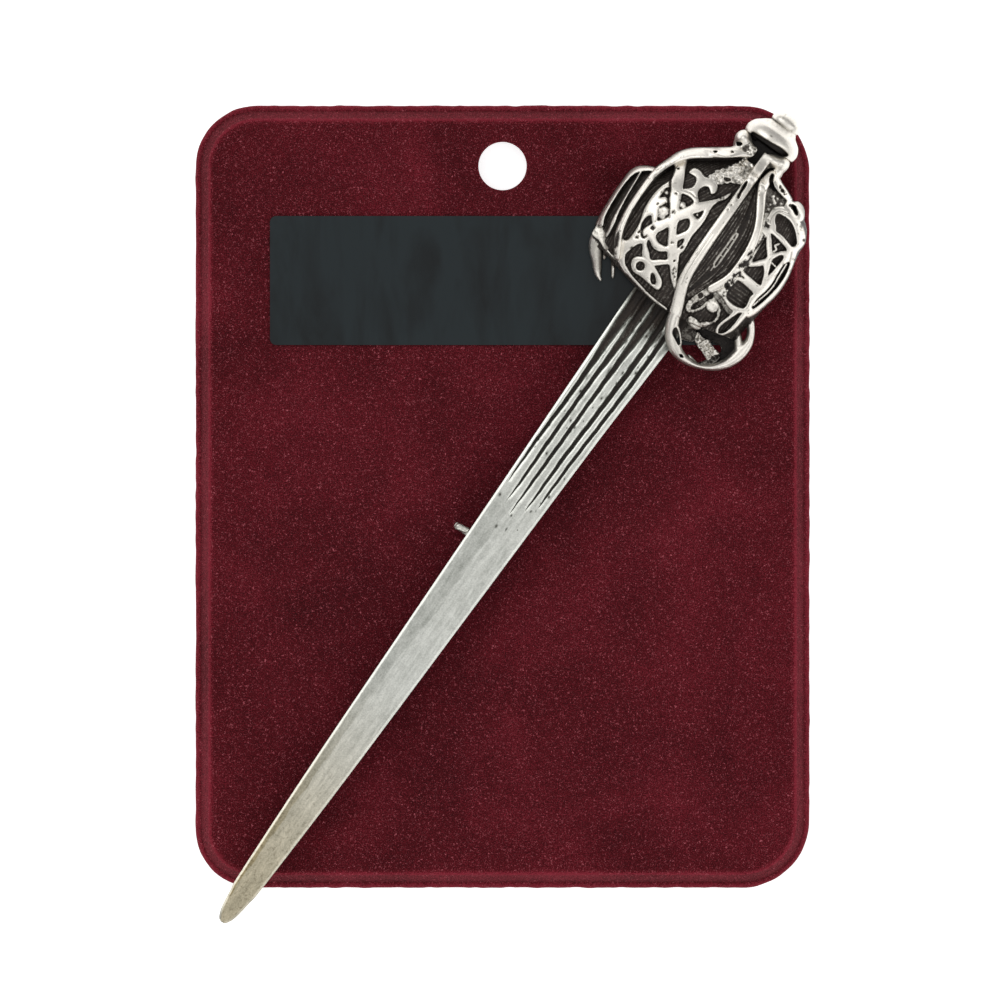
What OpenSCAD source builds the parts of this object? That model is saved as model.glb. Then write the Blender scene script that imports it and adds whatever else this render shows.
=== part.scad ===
/* [Card] */
// Width of the display card
card_w = 67.5; // [64:0.5:72]
// Height of the display card
card_h = 86; // [84:0.5:92]
// Radius of the card's corners
card_corner_r = 7; // [4:0.5:8]
// Height of the raised panel above the surface that the card lies on
card_rise = 3; // [2.8:0.1:3.2]
// Thickness of the flocked sheet
sheet_t = 1; // [0.8:0.1:1]
// Width of the flat lip round the foot of the wall
lip_w = 0.5; // [0.3:0.1:1]
// How far the wall leans in on its way up to the panel
wall_run = 0.9; // [0.5:0.1:1.5]

/* [Hang hole] */
// Diameter of the hole that hangs the card on a peg
hole_d = 5.3; // [4:0.1:7]
// Distance from the card's top edge down to the middle of the hole
hole_drop = 6.6; // [5:0.1:9]

/* [Label] */
// Width of the label
label_w = 51.2; // [40:0.1:56]
// Height of the label
label_h = 14.2; // [10:0.1:18]
// Distance from the card's top edge down to the label
label_drop = 12.1; // [11:0.1:16]
// Thickness of the label
label_t = 0.2; // [0.1:0.05:0.25]
// Radius of the label's corners
label_corner_r = 0.7; // [0.2:0.1:2]

/* [Sword] */
// Lean of the sword from the card's long side
lean = 35.2; // [30:0.1:40]
// Place of the middle of the hilt, to the right of the middle of the whole
hilt_x = 21.7; // [20:0.1:23]
// Place of the middle of the hilt, above the middle of the whole
hilt_y = 29.6; // [28:0.1:31]
// Distance from the middle of the hilt to the tip of the blade
tip_reach = 91; // [88:0.5:94]
// Thickness of the blade along its middle
blade_t = 2; // [1.6:0.1:2.4]
// Thickness of the blade at its edges
blade_edge_t = 1.3; // [1:0.1:1.4]
// Width of the bevel along the blade's edges
blade_bevel = 0.3; // [0.2:0.05:0.5]

/* [Fullers] */
// Radius of the round grooves
fuller_r = 0.34; // [0.3:0.01:0.4]
// Distance between the grooves at the hilt
fuller_pitch = 1.29; // [1.2:0.01:1.4]
// Slope at which the grooves rise out of the blade towards the tip, in degrees
fuller_slope = 0.55; // [0.4:0.05:0.7]

/* [Hilt] */
// Height of the straps above the ground of the basket
strap_rise = 0.55; // [0.4:0.05:0.8]
// Height of the main bars above the ground of the basket
bar_rise = 1; // [0.8:0.05:1.2]
// Height of the pommel's axis above the flat back
pommel_axis_z = 1.2; // [0.8:0.1:1.6]
// Greatest radius of the pommel
pommel_r = 3.25; // [3:0.05:3.5]

/* [Pin] */
// Diameter of the pin's wire
stem_d = 0.8; // [0.6:0.1:0.9]
// Distance from the hinge to the catch
pin_span = 37.9; // [34:0.1:40]
// Angle at which the wire dips through the card
stem_dip = 30; // [25:1:35]

/* [Hidden] */

// Clear space between pieces that are fixed to each other
fit_gap = 0.05;
// Height of the sword's flat back above the surface that the card lies on
back_z = card_rise + 2;
// The card lies so that card and blade together are centred on the origin
card_y = tip_reach * cos(lean) - hilt_y - card_h / 2;
card_top = card_y + card_h / 2;

// Half width of the blade at distances from the middle of the hilt
// columns: distance, half width
blade_rows = [
    [7.1, 3.55], [11.5, 3.5], [25.8, 3.06], [47.8, 2.56],
    [69.8, 2.05], [85.2, 1.49], [87.4, 1.3], [89.6, 0.98], [90.5, 0.62],
];
// Turn and shift of the blade's own axis against the hilt's
blade_turn = -0.2;
blade_shift = 0.33;
fuller_count = 5;
// Distance from the middle of the hilt at which the middle groove runs out
fuller_end = 36.5;
// How much sooner each groove runs out than the one inside it
fuller_step = 1.3;
// Angle between neighbouring grooves, which close up towards the tip
fuller_splay = 0.42;
// Depth of the grooves where they leave the hilt
fuller_sunk = 0.3;

// Cross-sections of the basket's ground, all in the sword's own frame: x across, y to the pommel
// columns: y at the middle, left edge, right edge, height above the flat back, sag of the section
ground_rows = [
    [-8.05, -10.1, 9.3, 5.9, 0.03], [-6.6, -10.5, 9.4, 6.6, 0.022], [-4.6, -10.8, 9.6, 7.2, 0.012],
    [-2.2, -10.9, 9.8, 7.6, 0.004], [0.6, -10.9, 10, 7.8, 0], [2.6, -10.5, 9.9, 7.6, 0],
    [4.1, -9.1, 9.7, 7.3, 0], [5.6, -7.9, 9.5, 6.8, 0], [7.3, -7, 9.2, 6.1, 0],
    [8.7, -5.6, 8.2, 5.1, 0], [9.9, -3.9, 5.6, 3.9, 0], [11.1, -2.6, 2.9, 3.2, 0],
    [12.6, -1.9, 1.9, 2.6, 0],
];
ground_sides = 16;

// Main bars that stand highest on the basket
// columns: x, y, width
main_bars = [
    // the long bar down the middle
    [[0.3, 12.3, 1], [0.5, 10.6, 1.1], [0.55, 8.2, 1.1], [0.55, 5.2, 1.2], [0.55, 2, 1.2],
     [0.6, -1.6, 1.2], [0.95, -4.4, 1.25], [1.6, -6.3, 1.3], [2.3, -7.7, 1.4]],
    // the bar right of it
    [[2.1, 10.7, 1.1], [2, 9.5, 1.1], [2.9, 7.7, 0.9], [4.1, 5.7, 0.9], [4.8, 3.6, 1],
     [5.1, 1.2, 1.1], [5, -1, 1.1], [4.4, -2.8, 1], [3.4, -5, 0.8], [3, -6.2, 0.65]],
    // the bar down the left side
    [[-0.9, 11.9, 1.2], [-3.3, 10.1, 1.2], [-6.4, 7.8, 1.2], [-7.7, 5.8, 1.05], [-8.6, 3.6, 0.85],
     [-8.8, 1.1, 0.75], [-8.5, -2.2, 0.85], [-7.7, -4.7, 1], [-6.6, -6.3, 0.7]],
];

// Straps of both panels
// columns: x, y, width
panel_straps = [
    // left panel: the two long diagonals
    [[-7.1, 6.7, 1], [-4.95, 3, 0.9], [-4, 1.4, 0.9], [-2.2, -1.4, 0.8], [-1.3, -2.8, 0.8]],
    [[-0.45, 6.3, 0.25], [-1.4, 4.9, 0.65], [-3.2, 3, 0.9], [-4.1, 1.3, 0.95], [-5.3, -0.9, 0.9],
     [-6.2, -3.6, 1]],
    // left panel: its left edge, right edge and foot
    [[-6.7, 4.1, 0.25], [-7, 2, 0.65], [-6.95, 0.2, 0.7], [-6.5, -2, 0.5], [-6.4, -3.1, 0.6]],
    [[-1.3, 4.2, 0.45], [-1.45, 1.5, 0.65], [-1.45, -1, 0.65], [-1.15, -2.9, 0.85],
     [-0.1, -4.6, 0.65], [0.5, -5.9, 0.3]],
    [[-5.7, -3.1, 0.9], [-6.4, -4.4, 1.3], [-6.5, -5.5, 1.1], [-6.3, -6.4, 0.6]],
    [[-6.8, -6.4, 0.45], [-5.1, -7, 0.35], [-3.6, -7.4, 0.35], [-1.1, -7.75, 0.3],
     [1.1, -7.8, 0.3]],
    // left panel: short diagonals, the arc under them and the fork that holds the loops
    [[-6.7, 1.1, 1], [-5.5, 2.3, 0.55]],
    [[-6.7, 0.3, 0.9], [-5.4, -1.2, 0.8], [-4.6, -2.3, 0.8], [-3.65, -2.85, 0.7],
     [-2.8, -2.5, 0.65], [-2.1, -1.9, 0.65]],
    [[-5.6, -2.9, 0.9], [-4.7, -3.6, 0.65], [-3.5, -4.8, 0.9]],
    [[-1.4, -3.3, 0.7], [-2.3, -4.1, 0.6], [-3.5, -4.9, 0.9]],
    // left panel: the stem with two horns
    [[-3.85, 3.8, 1.3], [-3.85, 4.8, 0.7], [-3.75, 6.4, 0.7]],
    [[-5, 3.6, 0.6], [-3.95, 4, 0.65], [-2.8, 3.6, 0.6]],
    [[-3.6, 6.1, 0.6], [-4.7, 6.45, 0.6], [-5.35, 6, 0.45]],
    [[-3.8, 6.2, 0.6], [-2.6, 6.3, 0.6], [-2.1, 5.95, 0.6], [-2.15, 5.4, 0.45]],
    // right panel: its head and its left edge
    [[2.2, 11, 0.5], [3.3, 10.5, 0.7], [4.4, 10.1, 0.75], [5.6, 9.8, 0.6]],
    [[5.5, 9.75, 0.7], [6.4, 9.95, 0.7], [7.2, 9.5, 0.8], [7.2, 8.8, 0.8], [6.4, 8.3, 0.9]],
    [[4.6, 7.4, 0.9], [5, 8.4, 0.9], [6.4, 8.55, 1.1], [7.8, 8.1, 1.3], [8.7, 7.2, 1.2],
     [8.95, 6, 0.9], [8.8, 5, 0.9]],
    [[4.6, 7.7, 0.7], [5.2, 6.2, 0.9], [5.5, 4.4, 0.4], [5.5, 0.6, 0.4], [5.55, -3.2, 0.35]],
    // right panel: the arc, the two diagonals, the cross band and the foot
    [[5.4, 6.3, 0.65], [6.6, 5.95, 0.55], [7.7, 5.6, 0.6], [8.8, 5.1, 0.9]],
    [[5.6, 5.5, 0.55], [7.15, 3.2, 0.75], [7.8, 2, 0.6], [8.2, 1.2, 0.45]],
    [[8.6, 5, 0.7], [7.15, 3.3, 0.75], [6.4, 2, 0.7], [5.5, 1.1, 0.75]],
    [[5.2, -0.35, 1], [6.8, -0.25, 0.85], [8.4, -0.35, 1]],
    [[5.5, -3.2, 0.35], [6.6, -3.45, 0.5], [7.6, -3.4, 0.65], [8.6, -3.1, 0.7]],
    // right panel: its right edge and the outer bar
    [[8.85, 5.2, 0.9], [8.65, 4, 0.5], [8.6, 2, 0.7], [8.5, 0, 0.8], [8.35, -2, 0.65],
     [8.5, -3.3, 0.7]],
    [[9.15, 5.4, 0.8], [9.6, 4.2, 0.5], [9.95, 2, 0.5], [9.9, 0, 0.55], [9.4, -2, 0.55],
     [8.9, -3.5, 0.6]],
    // right panel: the drop under its foot
    [[7.35, -3.6, 0.45], [7.05, -4.9, 0.35], [7, -6.1, 0.35], [7.45, -6.8, 0.35],
     [8, -6.1, 0.35], [8.4, -4.8, 0.5], [8.45, -3.4, 0.6]],
    // right panel: the curl beside the drop
    [[4.5, -4.1, 0.35], [5.5, -4.15, 0.35], [6.2, -5, 0.4], [6.2, -6, 0.4], [5.3, -7, 0.55],
     [4.1, -7.5, 0.9]],
    // far left: the outer bar and the lobe at its foot
    [[-9, 3.8, 0.7], [-10.1, 3.2, 0.8], [-10.65, 2, 0.6], [-10.8, 0, 0.5], [-10.7, -2.6, 0.5],
     [-10.4, -4.6, 0.8]],
    [[-9.8, -5.2, 1], [-8.8, -5.6, 0.9], [-8, -6.2, 0.35]],
    // thin bars in the narrow side openings and beside the curl
    [[9, 3.8, 0.25], [9.3, 1.6, 0.25], [9.2, -0.4, 0.25], [8.8, -2, 0.25]],
    [[4.5, -4.2, 0.35], [4.3, -5.3, 0.35], [3.8, -6.2, 0.35]],
    [[-9.7, 3.1, 0.35], [-9.55, 0.9, 0.25], [-9.35, -2.2, 0.25], [-9, -4.8, 0.3]],
];

// Round knots of the panels
// columns: x, y, radius, radius of the hole
panel_knots = [
    [-4, -5.7, 1.1, 0.45], [-2, -6, 1.05, 0.35], [-5.2, 0.9, 0.6, 0], [-4, 2.5, 0.4, 0],
    [4.95, -4.85, 0.7, 0], [3.1, -6.05, 0.5, 0], [4.1, -7.5, 0.6, 0], [8.3, 7.9, 0.8, 0],
];

// Low rough field beside the middle bar
// columns: x, y
rough_field = [
    [-1.3, 10.7], [-0.3, 10.6], [-0.3, 8.8], [-0.45, 8.1], [-1.3, 7.5], [-2.2, 6.8], [-3.5, 6.6],
    [-3.1, 7.7], [-2.6, 8.7], [-2, 9.6],
];

field_bead = 0.6;
field_rise = -0.2;

// Free bars that leave the basket
// columns: x, y, height above the flat back, width, thickness
loop_rows = [
    [0.8, -4.2, 7.4, 1.3, 1.6], [1.55, -6.1, 6.6, 1.35, 1.7], [2.4, -7.9, 5.6, 1.45, 1.8],
    [3.2, -9.2, 4.7, 1.5, 1.9], [4.1, -10.4, 4, 1.4, 1.9], [5.3, -11.1, 3.4, 1.1, 1.8],
    [6.8, -11.2, 2.9, 0.85, 1.7], [8.2, -10.75, 2.5, 0.8, 1.6], [9.4, -9.8, 2.2, 0.8, 1.6],
    [10.3, -8.6, 2, 0.85, 1.6], [10.65, -7.2, 1.8, 0.95, 1.6], [10.7, -6, 1.7, 0.75, 1.6],
    [10.35, -4.8, 1.7, 0.7, 1.6], [9.6, -3.9, 1.8, 0.75, 1.6], [8.9, -3.4, 2, 0.8, 1.6],
];
loop_inner_rows = [
    [10.5, -7.6, 1.7, 0.6, 1.4], [10.05, -6.9, 1.7, 0.6, 1.4], [9.6, -6.1, 1.8, 0.6, 1.4],
    [8.9, -5.6, 1.9, 0.5, 1.4],
];
claw_rows = [
    [-9.9, -5, 1.8, 1.3, 2], [-9.4, -6.3, 1.7, 1.6, 1.8], [-8.7, -7.3, 1.6, 1.35, 1.5],
    [-8, -8.25, 1.4, 0.95, 1.2], [-7.3, -9, 1.2, 0.6, 0.9], [-6.7, -9.3, 1.1, 0.3, 0.6],
];
// Web that closes part of the loop
// columns: x, y
loop_web = [
    [3.1, -7.8], [5.4, -7.8], [7.7, -6.6], [9, -5.6], [9.9, -6.9], [10.2, -8.4], [9.4, -9.7],
    [8.4, -10.3], [8.2, -9.9], [7.15, -9.7], [6.05, -9.15], [5.3, -8.7], [4.4, -9.9], [3.6, -9],
];
web_t = 1.2;

// Middle of the collar that carries the bars under the pommel
collar_y = 12.3;
collar_r = 1.9;
collar_sunk = 1.5;
// Radius of the core that joins each lug to the collar
lug_core_r = 0.6;
// Lugs on both sides of the collar
// columns: x, y, width, length, height
lug_rows = [[-2.85, 12.3, 1.7, 2, 2.8], [-1.5, 12.1, 1.9, 1.7, 3.2],
            [2.2, 12.2, 1.9, 1.8, 2.8], [1, 12.4, 2, 1.3, 3.4]];

pommel_y = 13.3;
pommel_shift = -0.05;
// Radius of the pommel's rim and of the button on it
pommel_rim_r = 1.15;
button_r = 1.7;
button_rim_r = 0.95;
button_y = 3.05;
// Longer than the hilt, for the cuts that trim it to the flat back
hilt_span = 60;

// The pin's hinge, catch and wire, measured from the middle of the hilt
hinge_y = -2.8;
hinge_size = [2.8, 3.2];
catch_size = [2, 2.4];
block_drop = 1.7;
wire_z = -1;
wire_low_z = 1.2 - back_z;
wire_start = hinge_y - hinge_size[1] / 2;
wire_end = hinge_y - pin_span + catch_size[1] / 2;
dip_run = (wire_z - wire_low_z) / tan(stem_dip);
// The slots in the card and the label for the wire
slit_w = stem_d + 0.6;
slit_gap = 1;
slit_run = 3.3;
wire_stub = 0.4;
bend_d = stem_d + 0.06;
tongue_reach = 4.2;
tongue_r = 0.6;
tongue_tip_r = 0.38;

// Places the children in the sword's own frame: x across, y towards the pommel, z up
module on_sword() {
    translate([hilt_x, hilt_y, back_z]) rotate([0, 0, -lean]) children();
}

// A rounded rectangle whose walls lean in evenly from the foot to the top
module leaning_block(w, h, r, run, rise) {
    cx = w / 2 - r;
    cy = h / 2 - r;
    for (sx = [-1, 1], sy = [-1, 1])
        translate([sx * cx, sy * cy, 0]) cylinder(r1 = r, r2 = r - run, h = rise, $fn = 64);
    translate([0, cy, 0]) rotate([90, 0, 0])
        linear_extrude(2 * cy)
            polygon([[-w / 2, 0], [w / 2, 0], [w / 2 - run, rise], [run - w / 2, rise]]);
    translate([-cx, 0, 0]) rotate([90, 0, 90])
        linear_extrude(2 * cx)
            polygon([[-h / 2, 0], [h / 2, 0], [h / 2 - run, rise], [run - h / 2, rise]]);
}

// A slot with round ends that runs away from y = 0
module slit(length) {
    for (y = [0, length])
        translate([0, y, 0]) cylinder(d = slit_w, h = back_z, $fn = 32);
    translate([-slit_w / 2, min(0, length), 0]) cube([slit_w, abs(length), back_z]);
}

// The two slots through which the wire dips behind the card
module wire_slits() {
    on_sword() {
        translate([0, wire_start - slit_gap, -back_z]) slit(-slit_run);
        translate([0, wire_end + slit_gap, -back_z]) slit(slit_run);
    }
}

module display_card() {
    foot_w = card_w - 2 * lip_w;
    foot_h = card_h - 2 * lip_w;
    inner_run = wall_run * (card_rise - sheet_t) / card_rise;
    color("#4e191f") difference() {
        translate([0, card_y, 0]) {
            leaning_block(card_w, card_h, card_corner_r, 0, sheet_t);
            leaning_block(foot_w, foot_h, card_corner_r - lip_w, wall_run, card_rise);
        }
        translate([0, card_y, -fit_gap])
            leaning_block(foot_w - 2 * sheet_t, foot_h - 2 * sheet_t,
                card_corner_r - lip_w - sheet_t, inner_run, card_rise - sheet_t + fit_gap);
        translate([0, card_top - hole_drop, -1])
            cylinder(d = hole_d, h = card_rise + 2, $fn = 64);
        wire_slits();
    }
}

module card_label() {
    cx = label_w / 2 - label_corner_r;
    cy = label_h / 2 - label_corner_r;
    color("#1e2224") difference() {
        translate([0, card_top - label_drop - label_h / 2, card_rise + fit_gap / 2]) {
            for (sx = [-1, 1], sy = [-1, 1])
                translate([sx * cx, sy * cy, 0]) cylinder(r = label_corner_r, h = label_t, $fn = 32);
            translate([-label_w / 2, -cy, 0]) cube([label_w, 2 * cy, label_t]);
            translate([-cx, -label_h / 2, 0]) cube([2 * cx, label_h, label_t]);
        }
        wire_slits();
    }
}

// The blade's outline, drawn in from its edges by inset
module blade_outline(inset) {
    right = [for (row = blade_rows) [row[1] - inset, -row[0]]];
    left = [for (i = [len(blade_rows) - 1:-1:0]) [inset - blade_rows[i][1], -blade_rows[i][0]]];
    polygon(concat(right, [[0, inset - tip_reach]], left));
}

module blade() {
    start = blade_rows[0][0];
    color("#c4c4bd") on_sword() translate([blade_shift, 0, 0]) rotate([0, 0, blade_turn])
        difference() {
            hull() {
                linear_extrude(blade_edge_t) blade_outline(0);
                linear_extrude(blade_t) blade_outline(blade_bevel);
            }
            for (i = [0:fuller_count - 1]) {
                side = i - (fuller_count - 1) / 2;
                run_out = fuller_end - fuller_step * abs(side);
                translate([side * fuller_pitch, -start, blade_t + fuller_r - fuller_sunk])
                    rotate([0, 0, -fuller_splay * side]) rotate([90 - fuller_slope, 0, 0])
                        translate([0, 0, -1])
                            cylinder(r = fuller_r, h = run_out - start + 1, $fn = 32);
            }
        }
}

// A smooth run through rows of numbers, with steps points in each stretch
function run_point(a, b, c, d, t) = 0.5 * (2 * b + (c - a) * t + (2 * a - 5 * b + 4 * c - d) * t * t
    + (3 * b - a - 3 * c + d) * t * t * t);
function smooth_run(rows, steps) = concat([for (i = [0:len(rows) - 2], s = [0:steps - 1])
    run_point(rows[max(i - 1, 0)], rows[i], rows[i + 1], rows[min(i + 2, len(rows) - 1)], s / steps)],
    [rows[len(rows) - 1]]);

// Height of the basket's ground above the flat back
function column(n) = [for (row = ground_rows) [row[0], row[n]]];
ground_left = column(1);
ground_right = column(2);
ground_high = column(3);
function ground_z(x, y) = let (left = lookup(y, ground_left), right = lookup(y, ground_right),
    t = (2 * x - left - right) / (right - left)) lookup(y, ground_high) * sqrt(max(0, 1 - t * t));

// One bead of a strap, half sunk in the ground and raised by rise
module bead(row, rise) {
    translate([row[0], row[1], ground_z(row[0], row[1]) + rise])
        scale([row[2], row[2], strap_rise * 2] / 2) sphere(r = 1, $fn = 6);
}

// A strap that follows the ground: beads joined two by two
module strap(rows, rise = 0, steps = 1) {
    run = smooth_run(rows, steps);
    for (i = [0:len(run) - 2])
        hull() {
            bead(run[i], rise);
            bead(run[i + 1], rise);
        }
}

// A round knot, or a ring where it has a hole
module knot(row) {
    if (row[3] > 0)
        strap([for (a = [0:60:360]) [row[0] + (row[2] + row[3]) / 2 * cos(a),
            row[1] + (row[2] + row[3]) / 2 * sin(a), row[2] - row[3]]]);
    else
        bead([row[0], row[1], 2 * row[2]], 0);
}

// The rounded ground of the basket, closed by the flat back
module ground() {
    rows = len(ground_rows);
    ring = ground_sides + 1;
    points = [for (row = ground_rows, j = [0:ground_sides]) let (a = 180 * j / ground_sides,
        x = (row[1] + row[2]) / 2 - (row[2] - row[1]) / 2 * cos(a))
        [x, row[0] + row[4] * x * x, row[3] * sin(a)]];
    sides = [for (i = [0:rows - 2], j = [0:ground_sides])
        let (k = (j + 1) % ring)
        each [[i * ring + j, (i + 1) * ring + k, i * ring + k],
              [i * ring + j, (i + 1) * ring + j, (i + 1) * ring + k]]];
    foot = [for (j = [1:ground_sides - 1]) [0, j, j + 1]];
    head = [for (j = [ground_sides:-1:0]) (rows - 1) * ring + j];
    polyhedron(points, concat(sides, foot, [head]));
}

// One free bar: an eight-sided tube along a smooth run, thinner at its ends if its rows are
module free_bar(rows, steps = 1) {
    run = smooth_run(rows, steps);
    last = len(run) - 1;
    sides = 8;
    points = [for (i = [0:last]) let (d = run[min(i + 1, last)] - run[max(i - 1, 0)],
        along = [d[0], d[1], d[2]] / norm([d[0], d[1], d[2]]),
        across = [-along[1], along[0], 0] / norm([along[0], along[1]]),
        up = cross(along, across))
        for (j = [0:sides - 1]) let (a = 360 * (j + 0.5) / sides)
            [run[i][0], run[i][1], run[i][2]] + across * run[i][3] / 2 * cos(a)
                + up * run[i][4] / 2 * sin(a)];
    walls = [for (i = [0:last - 1], j = [0:sides - 1]) let (k = (j + 1) % sides)
        each [[i * sides + j, (i + 1) * sides + k, i * sides + k],
              [i * sides + j, (i + 1) * sides + j, (i + 1) * sides + k]]];
    start = [for (j = [0:sides - 1]) j];
    end = [for (j = [sides - 1:-1:0]) last * sides + j];
    polyhedron(points, concat(walls, [start, end]));
}

// One rounded length of the claw at the far left
module claw_knuckle(row) {
    translate([row[0], row[1], row[2]]) scale([row[3], row[3], row[4]] / 2) sphere(r = 1, $fn = 8);
}

module basket_hilt() {
    color("#b9b7ae") on_sword() difference() {
        union() {
            ground();
            for (rows = panel_straps) strap(rows);
            for (rows = main_bars) strap(rows, bar_rise - strap_rise, 2);
            for (row = panel_knots) knot(row);
            hull() for (point = rough_field) bead([point[0], point[1], field_bead], field_rise);
            linear_extrude(web_t) polygon(loop_web);
            free_bar(loop_rows, 2);
            free_bar(loop_inner_rows);
            for (i = [0:len(claw_rows) - 2])
                hull() for (row = [claw_rows[i], claw_rows[i + 1]]) claw_knuckle(row);
            for (row = lug_rows) hull() {
                translate([row[0], row[1], 0]) scale([row[2], row[3], 2 * row[4]] / 2)
                    sphere(r = 1, $fn = 10);
                translate([0, collar_y, pommel_axis_z]) sphere(r = lug_core_r, $fn = 8);
            }
            translate([0, collar_y - collar_sunk, pommel_axis_z]) rotate([-90, 0, 0])
                cylinder(r = collar_r, h = pommel_y - fit_gap - collar_y + collar_sunk, $fn = 16);
        }
        translate([-hilt_span / 2, -hilt_span / 2, -hilt_span]) cube(hilt_span);
        translate([0, 0, -1]) linear_extrude(blade_t + fit_gap + 1)
            translate([blade_shift, 0]) rotate(blade_turn) offset(delta = fit_gap)
                blade_outline(0);
    }
}

// Points on an arc from angle a to angle b
function arc(x, y, r, a, b, n) = [for (i = [0:n]) [x + r * cos(a + (b - a) * i / n),
    y + r * sin(a + (b - a) * i / n)]];

module pommel() {
    bun_x = pommel_r - pommel_rim_r;
    button_x = button_r - button_rim_r;
    neck = [[1.9, 2.35], [1.55, 2.6]];
    crown = [[0.6, 4.08], [0, 4.15]];
    profile = concat([[0, 0]], arc(bun_x, pommel_rim_r, pommel_rim_r, -80, 50, 6), neck,
        arc(button_x, button_y, button_rim_r, -20, 60, 4), crown);
    color("#cfcdc6") on_sword() intersection() {
        translate([pommel_shift, pommel_y, pommel_axis_z]) rotate([-90, 0, 0])
            rotate_extrude($fn = 64) polygon(profile);
        translate([-hilt_span / 2, 0, 0]) cube(hilt_span);
    }
}

// A straight length of wire between two points of the pin's own plane
module wire(a, b) {
    translate([0, a[0], a[1]]) rotate([atan2(b[1] - a[1], b[0] - a[0]), 0, 0])
        rotate([-90, 0, 0]) cylinder(d = stem_d, h = norm(b - a), $fn = 32);
}

module pin_back() {
    catch_y = hinge_y - pin_span;
    first_bend = wire_start - wire_stub;
    last_bend = wire_end + wire_stub;
    route = [[wire_start + wire_stub, wire_z], [first_bend, wire_z],
        [first_bend - dip_run, wire_low_z], [last_bend + dip_run, wire_low_z],
        [last_bend, wire_z], [wire_end - wire_stub, wire_z]];
    color("#a9a8a2") on_sword() {
        translate([-hinge_size[0] / 2, hinge_y - hinge_size[1] / 2, -block_drop])
            cube([hinge_size[0], hinge_size[1], block_drop - fit_gap]);
        translate([-catch_size[0] / 2, catch_y - catch_size[1] / 2, -block_drop])
            cube([catch_size[0], catch_size[1], block_drop - fit_gap]);
        translate([0, catch_y, wire_z]) rotate([0, -90, 0])
            cylinder(r1 = tongue_r, r2 = tongue_tip_r, h = tongue_reach, $fn = 32);
        for (i = [0:len(route) - 2]) wire(route[i], route[i + 1]);
        for (i = [1:len(route) - 2])
            translate([0, route[i][0], route[i][1]]) sphere(d = bend_d, $fn = 32);
    }
}

display_card();
card_label();
blade();
basket_hilt();
pommel();
pin_back();
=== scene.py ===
import math
import bpy
import numpy as np
import openvdb
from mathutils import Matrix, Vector


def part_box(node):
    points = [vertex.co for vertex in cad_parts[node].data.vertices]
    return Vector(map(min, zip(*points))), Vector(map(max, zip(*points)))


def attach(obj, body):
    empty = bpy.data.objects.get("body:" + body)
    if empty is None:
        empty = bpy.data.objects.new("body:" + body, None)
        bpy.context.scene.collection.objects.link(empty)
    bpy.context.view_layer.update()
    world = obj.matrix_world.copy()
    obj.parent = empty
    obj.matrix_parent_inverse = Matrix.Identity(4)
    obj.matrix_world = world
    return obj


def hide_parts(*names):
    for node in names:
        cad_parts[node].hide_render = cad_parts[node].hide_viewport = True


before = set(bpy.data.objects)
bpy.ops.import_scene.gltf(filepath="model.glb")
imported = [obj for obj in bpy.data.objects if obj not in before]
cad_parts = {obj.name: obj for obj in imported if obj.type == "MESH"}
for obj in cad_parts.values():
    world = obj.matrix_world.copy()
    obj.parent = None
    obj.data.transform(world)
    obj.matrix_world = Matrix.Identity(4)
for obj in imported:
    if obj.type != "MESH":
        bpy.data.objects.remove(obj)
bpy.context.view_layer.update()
print("frame loaded:", sorted(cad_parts))

mm = 0.001
cardLow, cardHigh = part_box("display_card")
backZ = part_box("blade")[0].z / mm  # the sword's flat back

# where the sword lies: its own x runs across the blade, its y to the pommel, its z up
sword = {"lean": 35.2, "hiltX": 21.61, "hiltY": 29.42}


def swordToWorld(points):
    a = math.radians(sword["lean"])
    p = np.asarray(points, float)
    x = sword["hiltX"] + p[:, 0] * math.cos(a) + p[:, 1] * math.sin(a)
    y = sword["hiltY"] - p[:, 0] * math.sin(a) + p[:, 1] * math.cos(a)
    return np.stack([x, y, backZ + p[:, 2]], axis=1) * mm


def linear(hexColour):
    # sRGB hex to the linear colour that a shader takes
    parts = [int(hexColour[i:i + 2], 16) / 255 for i in (1, 3, 5)]
    return [c / 12.92 if c <= 0.04045 else ((c + 0.055) / 1.055) ** 2.4 for c in parts] + [1.0]


def addNode(tree, kind, settings, links=None):
    # adds a node, sets its sockets or its own settings, and links sockets to what feeds them
    node = tree.nodes.new(kind)
    for key, value in settings.items():
        if key == "stops":
            while len(node.color_ramp.elements) < len(value):
                node.color_ramp.elements.new(0.5)
            for element, (place, colour) in zip(node.color_ramp.elements, value):
                element.position = place
                element.color = linear(colour)
        elif isinstance(key, int) or key in node.inputs:
            node.inputs[key].default_value = value
        else:
            setattr(node, key, value)
    for key, source in (links or {}).items():
        tree.links.new(source, node.inputs[key])
    return node


def newMaterial(name):
    material = bpy.data.materials.new(name)
    material.use_nodes = True
    material.node_tree.nodes.clear()
    return material, material.node_tree


def addNoise(tree, place, size, settings):
    # noise with grains of about size mm
    return addNode(tree, "ShaderNodeTexNoise", {"Scale": 1 / (size * mm), **settings},
                   {"Vector": place.outputs["Object"]}).outputs["Fac"]


def addMath(tree, operation, *terms):
    # arithmetic on numbers and sockets
    numbers = {i: term for i, term in enumerate(terms) if isinstance(term, float)}
    sockets = {i: term for i, term in enumerate(terms) if i not in numbers}
    return addNode(tree, "ShaderNodeMath", {"operation": operation, **numbers}, sockets).outputs[0]


def addRange(tree, source, low, high, toLow=0.0, toHigh=1.0):
    return addNode(tree, "ShaderNodeMapRange",
                   {"From Min": low, "From Max": high, "To Min": toLow, "To Max": toHigh},
                   {"Value": source}).outputs[0]


def addRamp(tree, source, stops):
    return addNode(tree, "ShaderNodeValToRGB", {"stops": stops}, {"Fac": source}).outputs["Color"]


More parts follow.
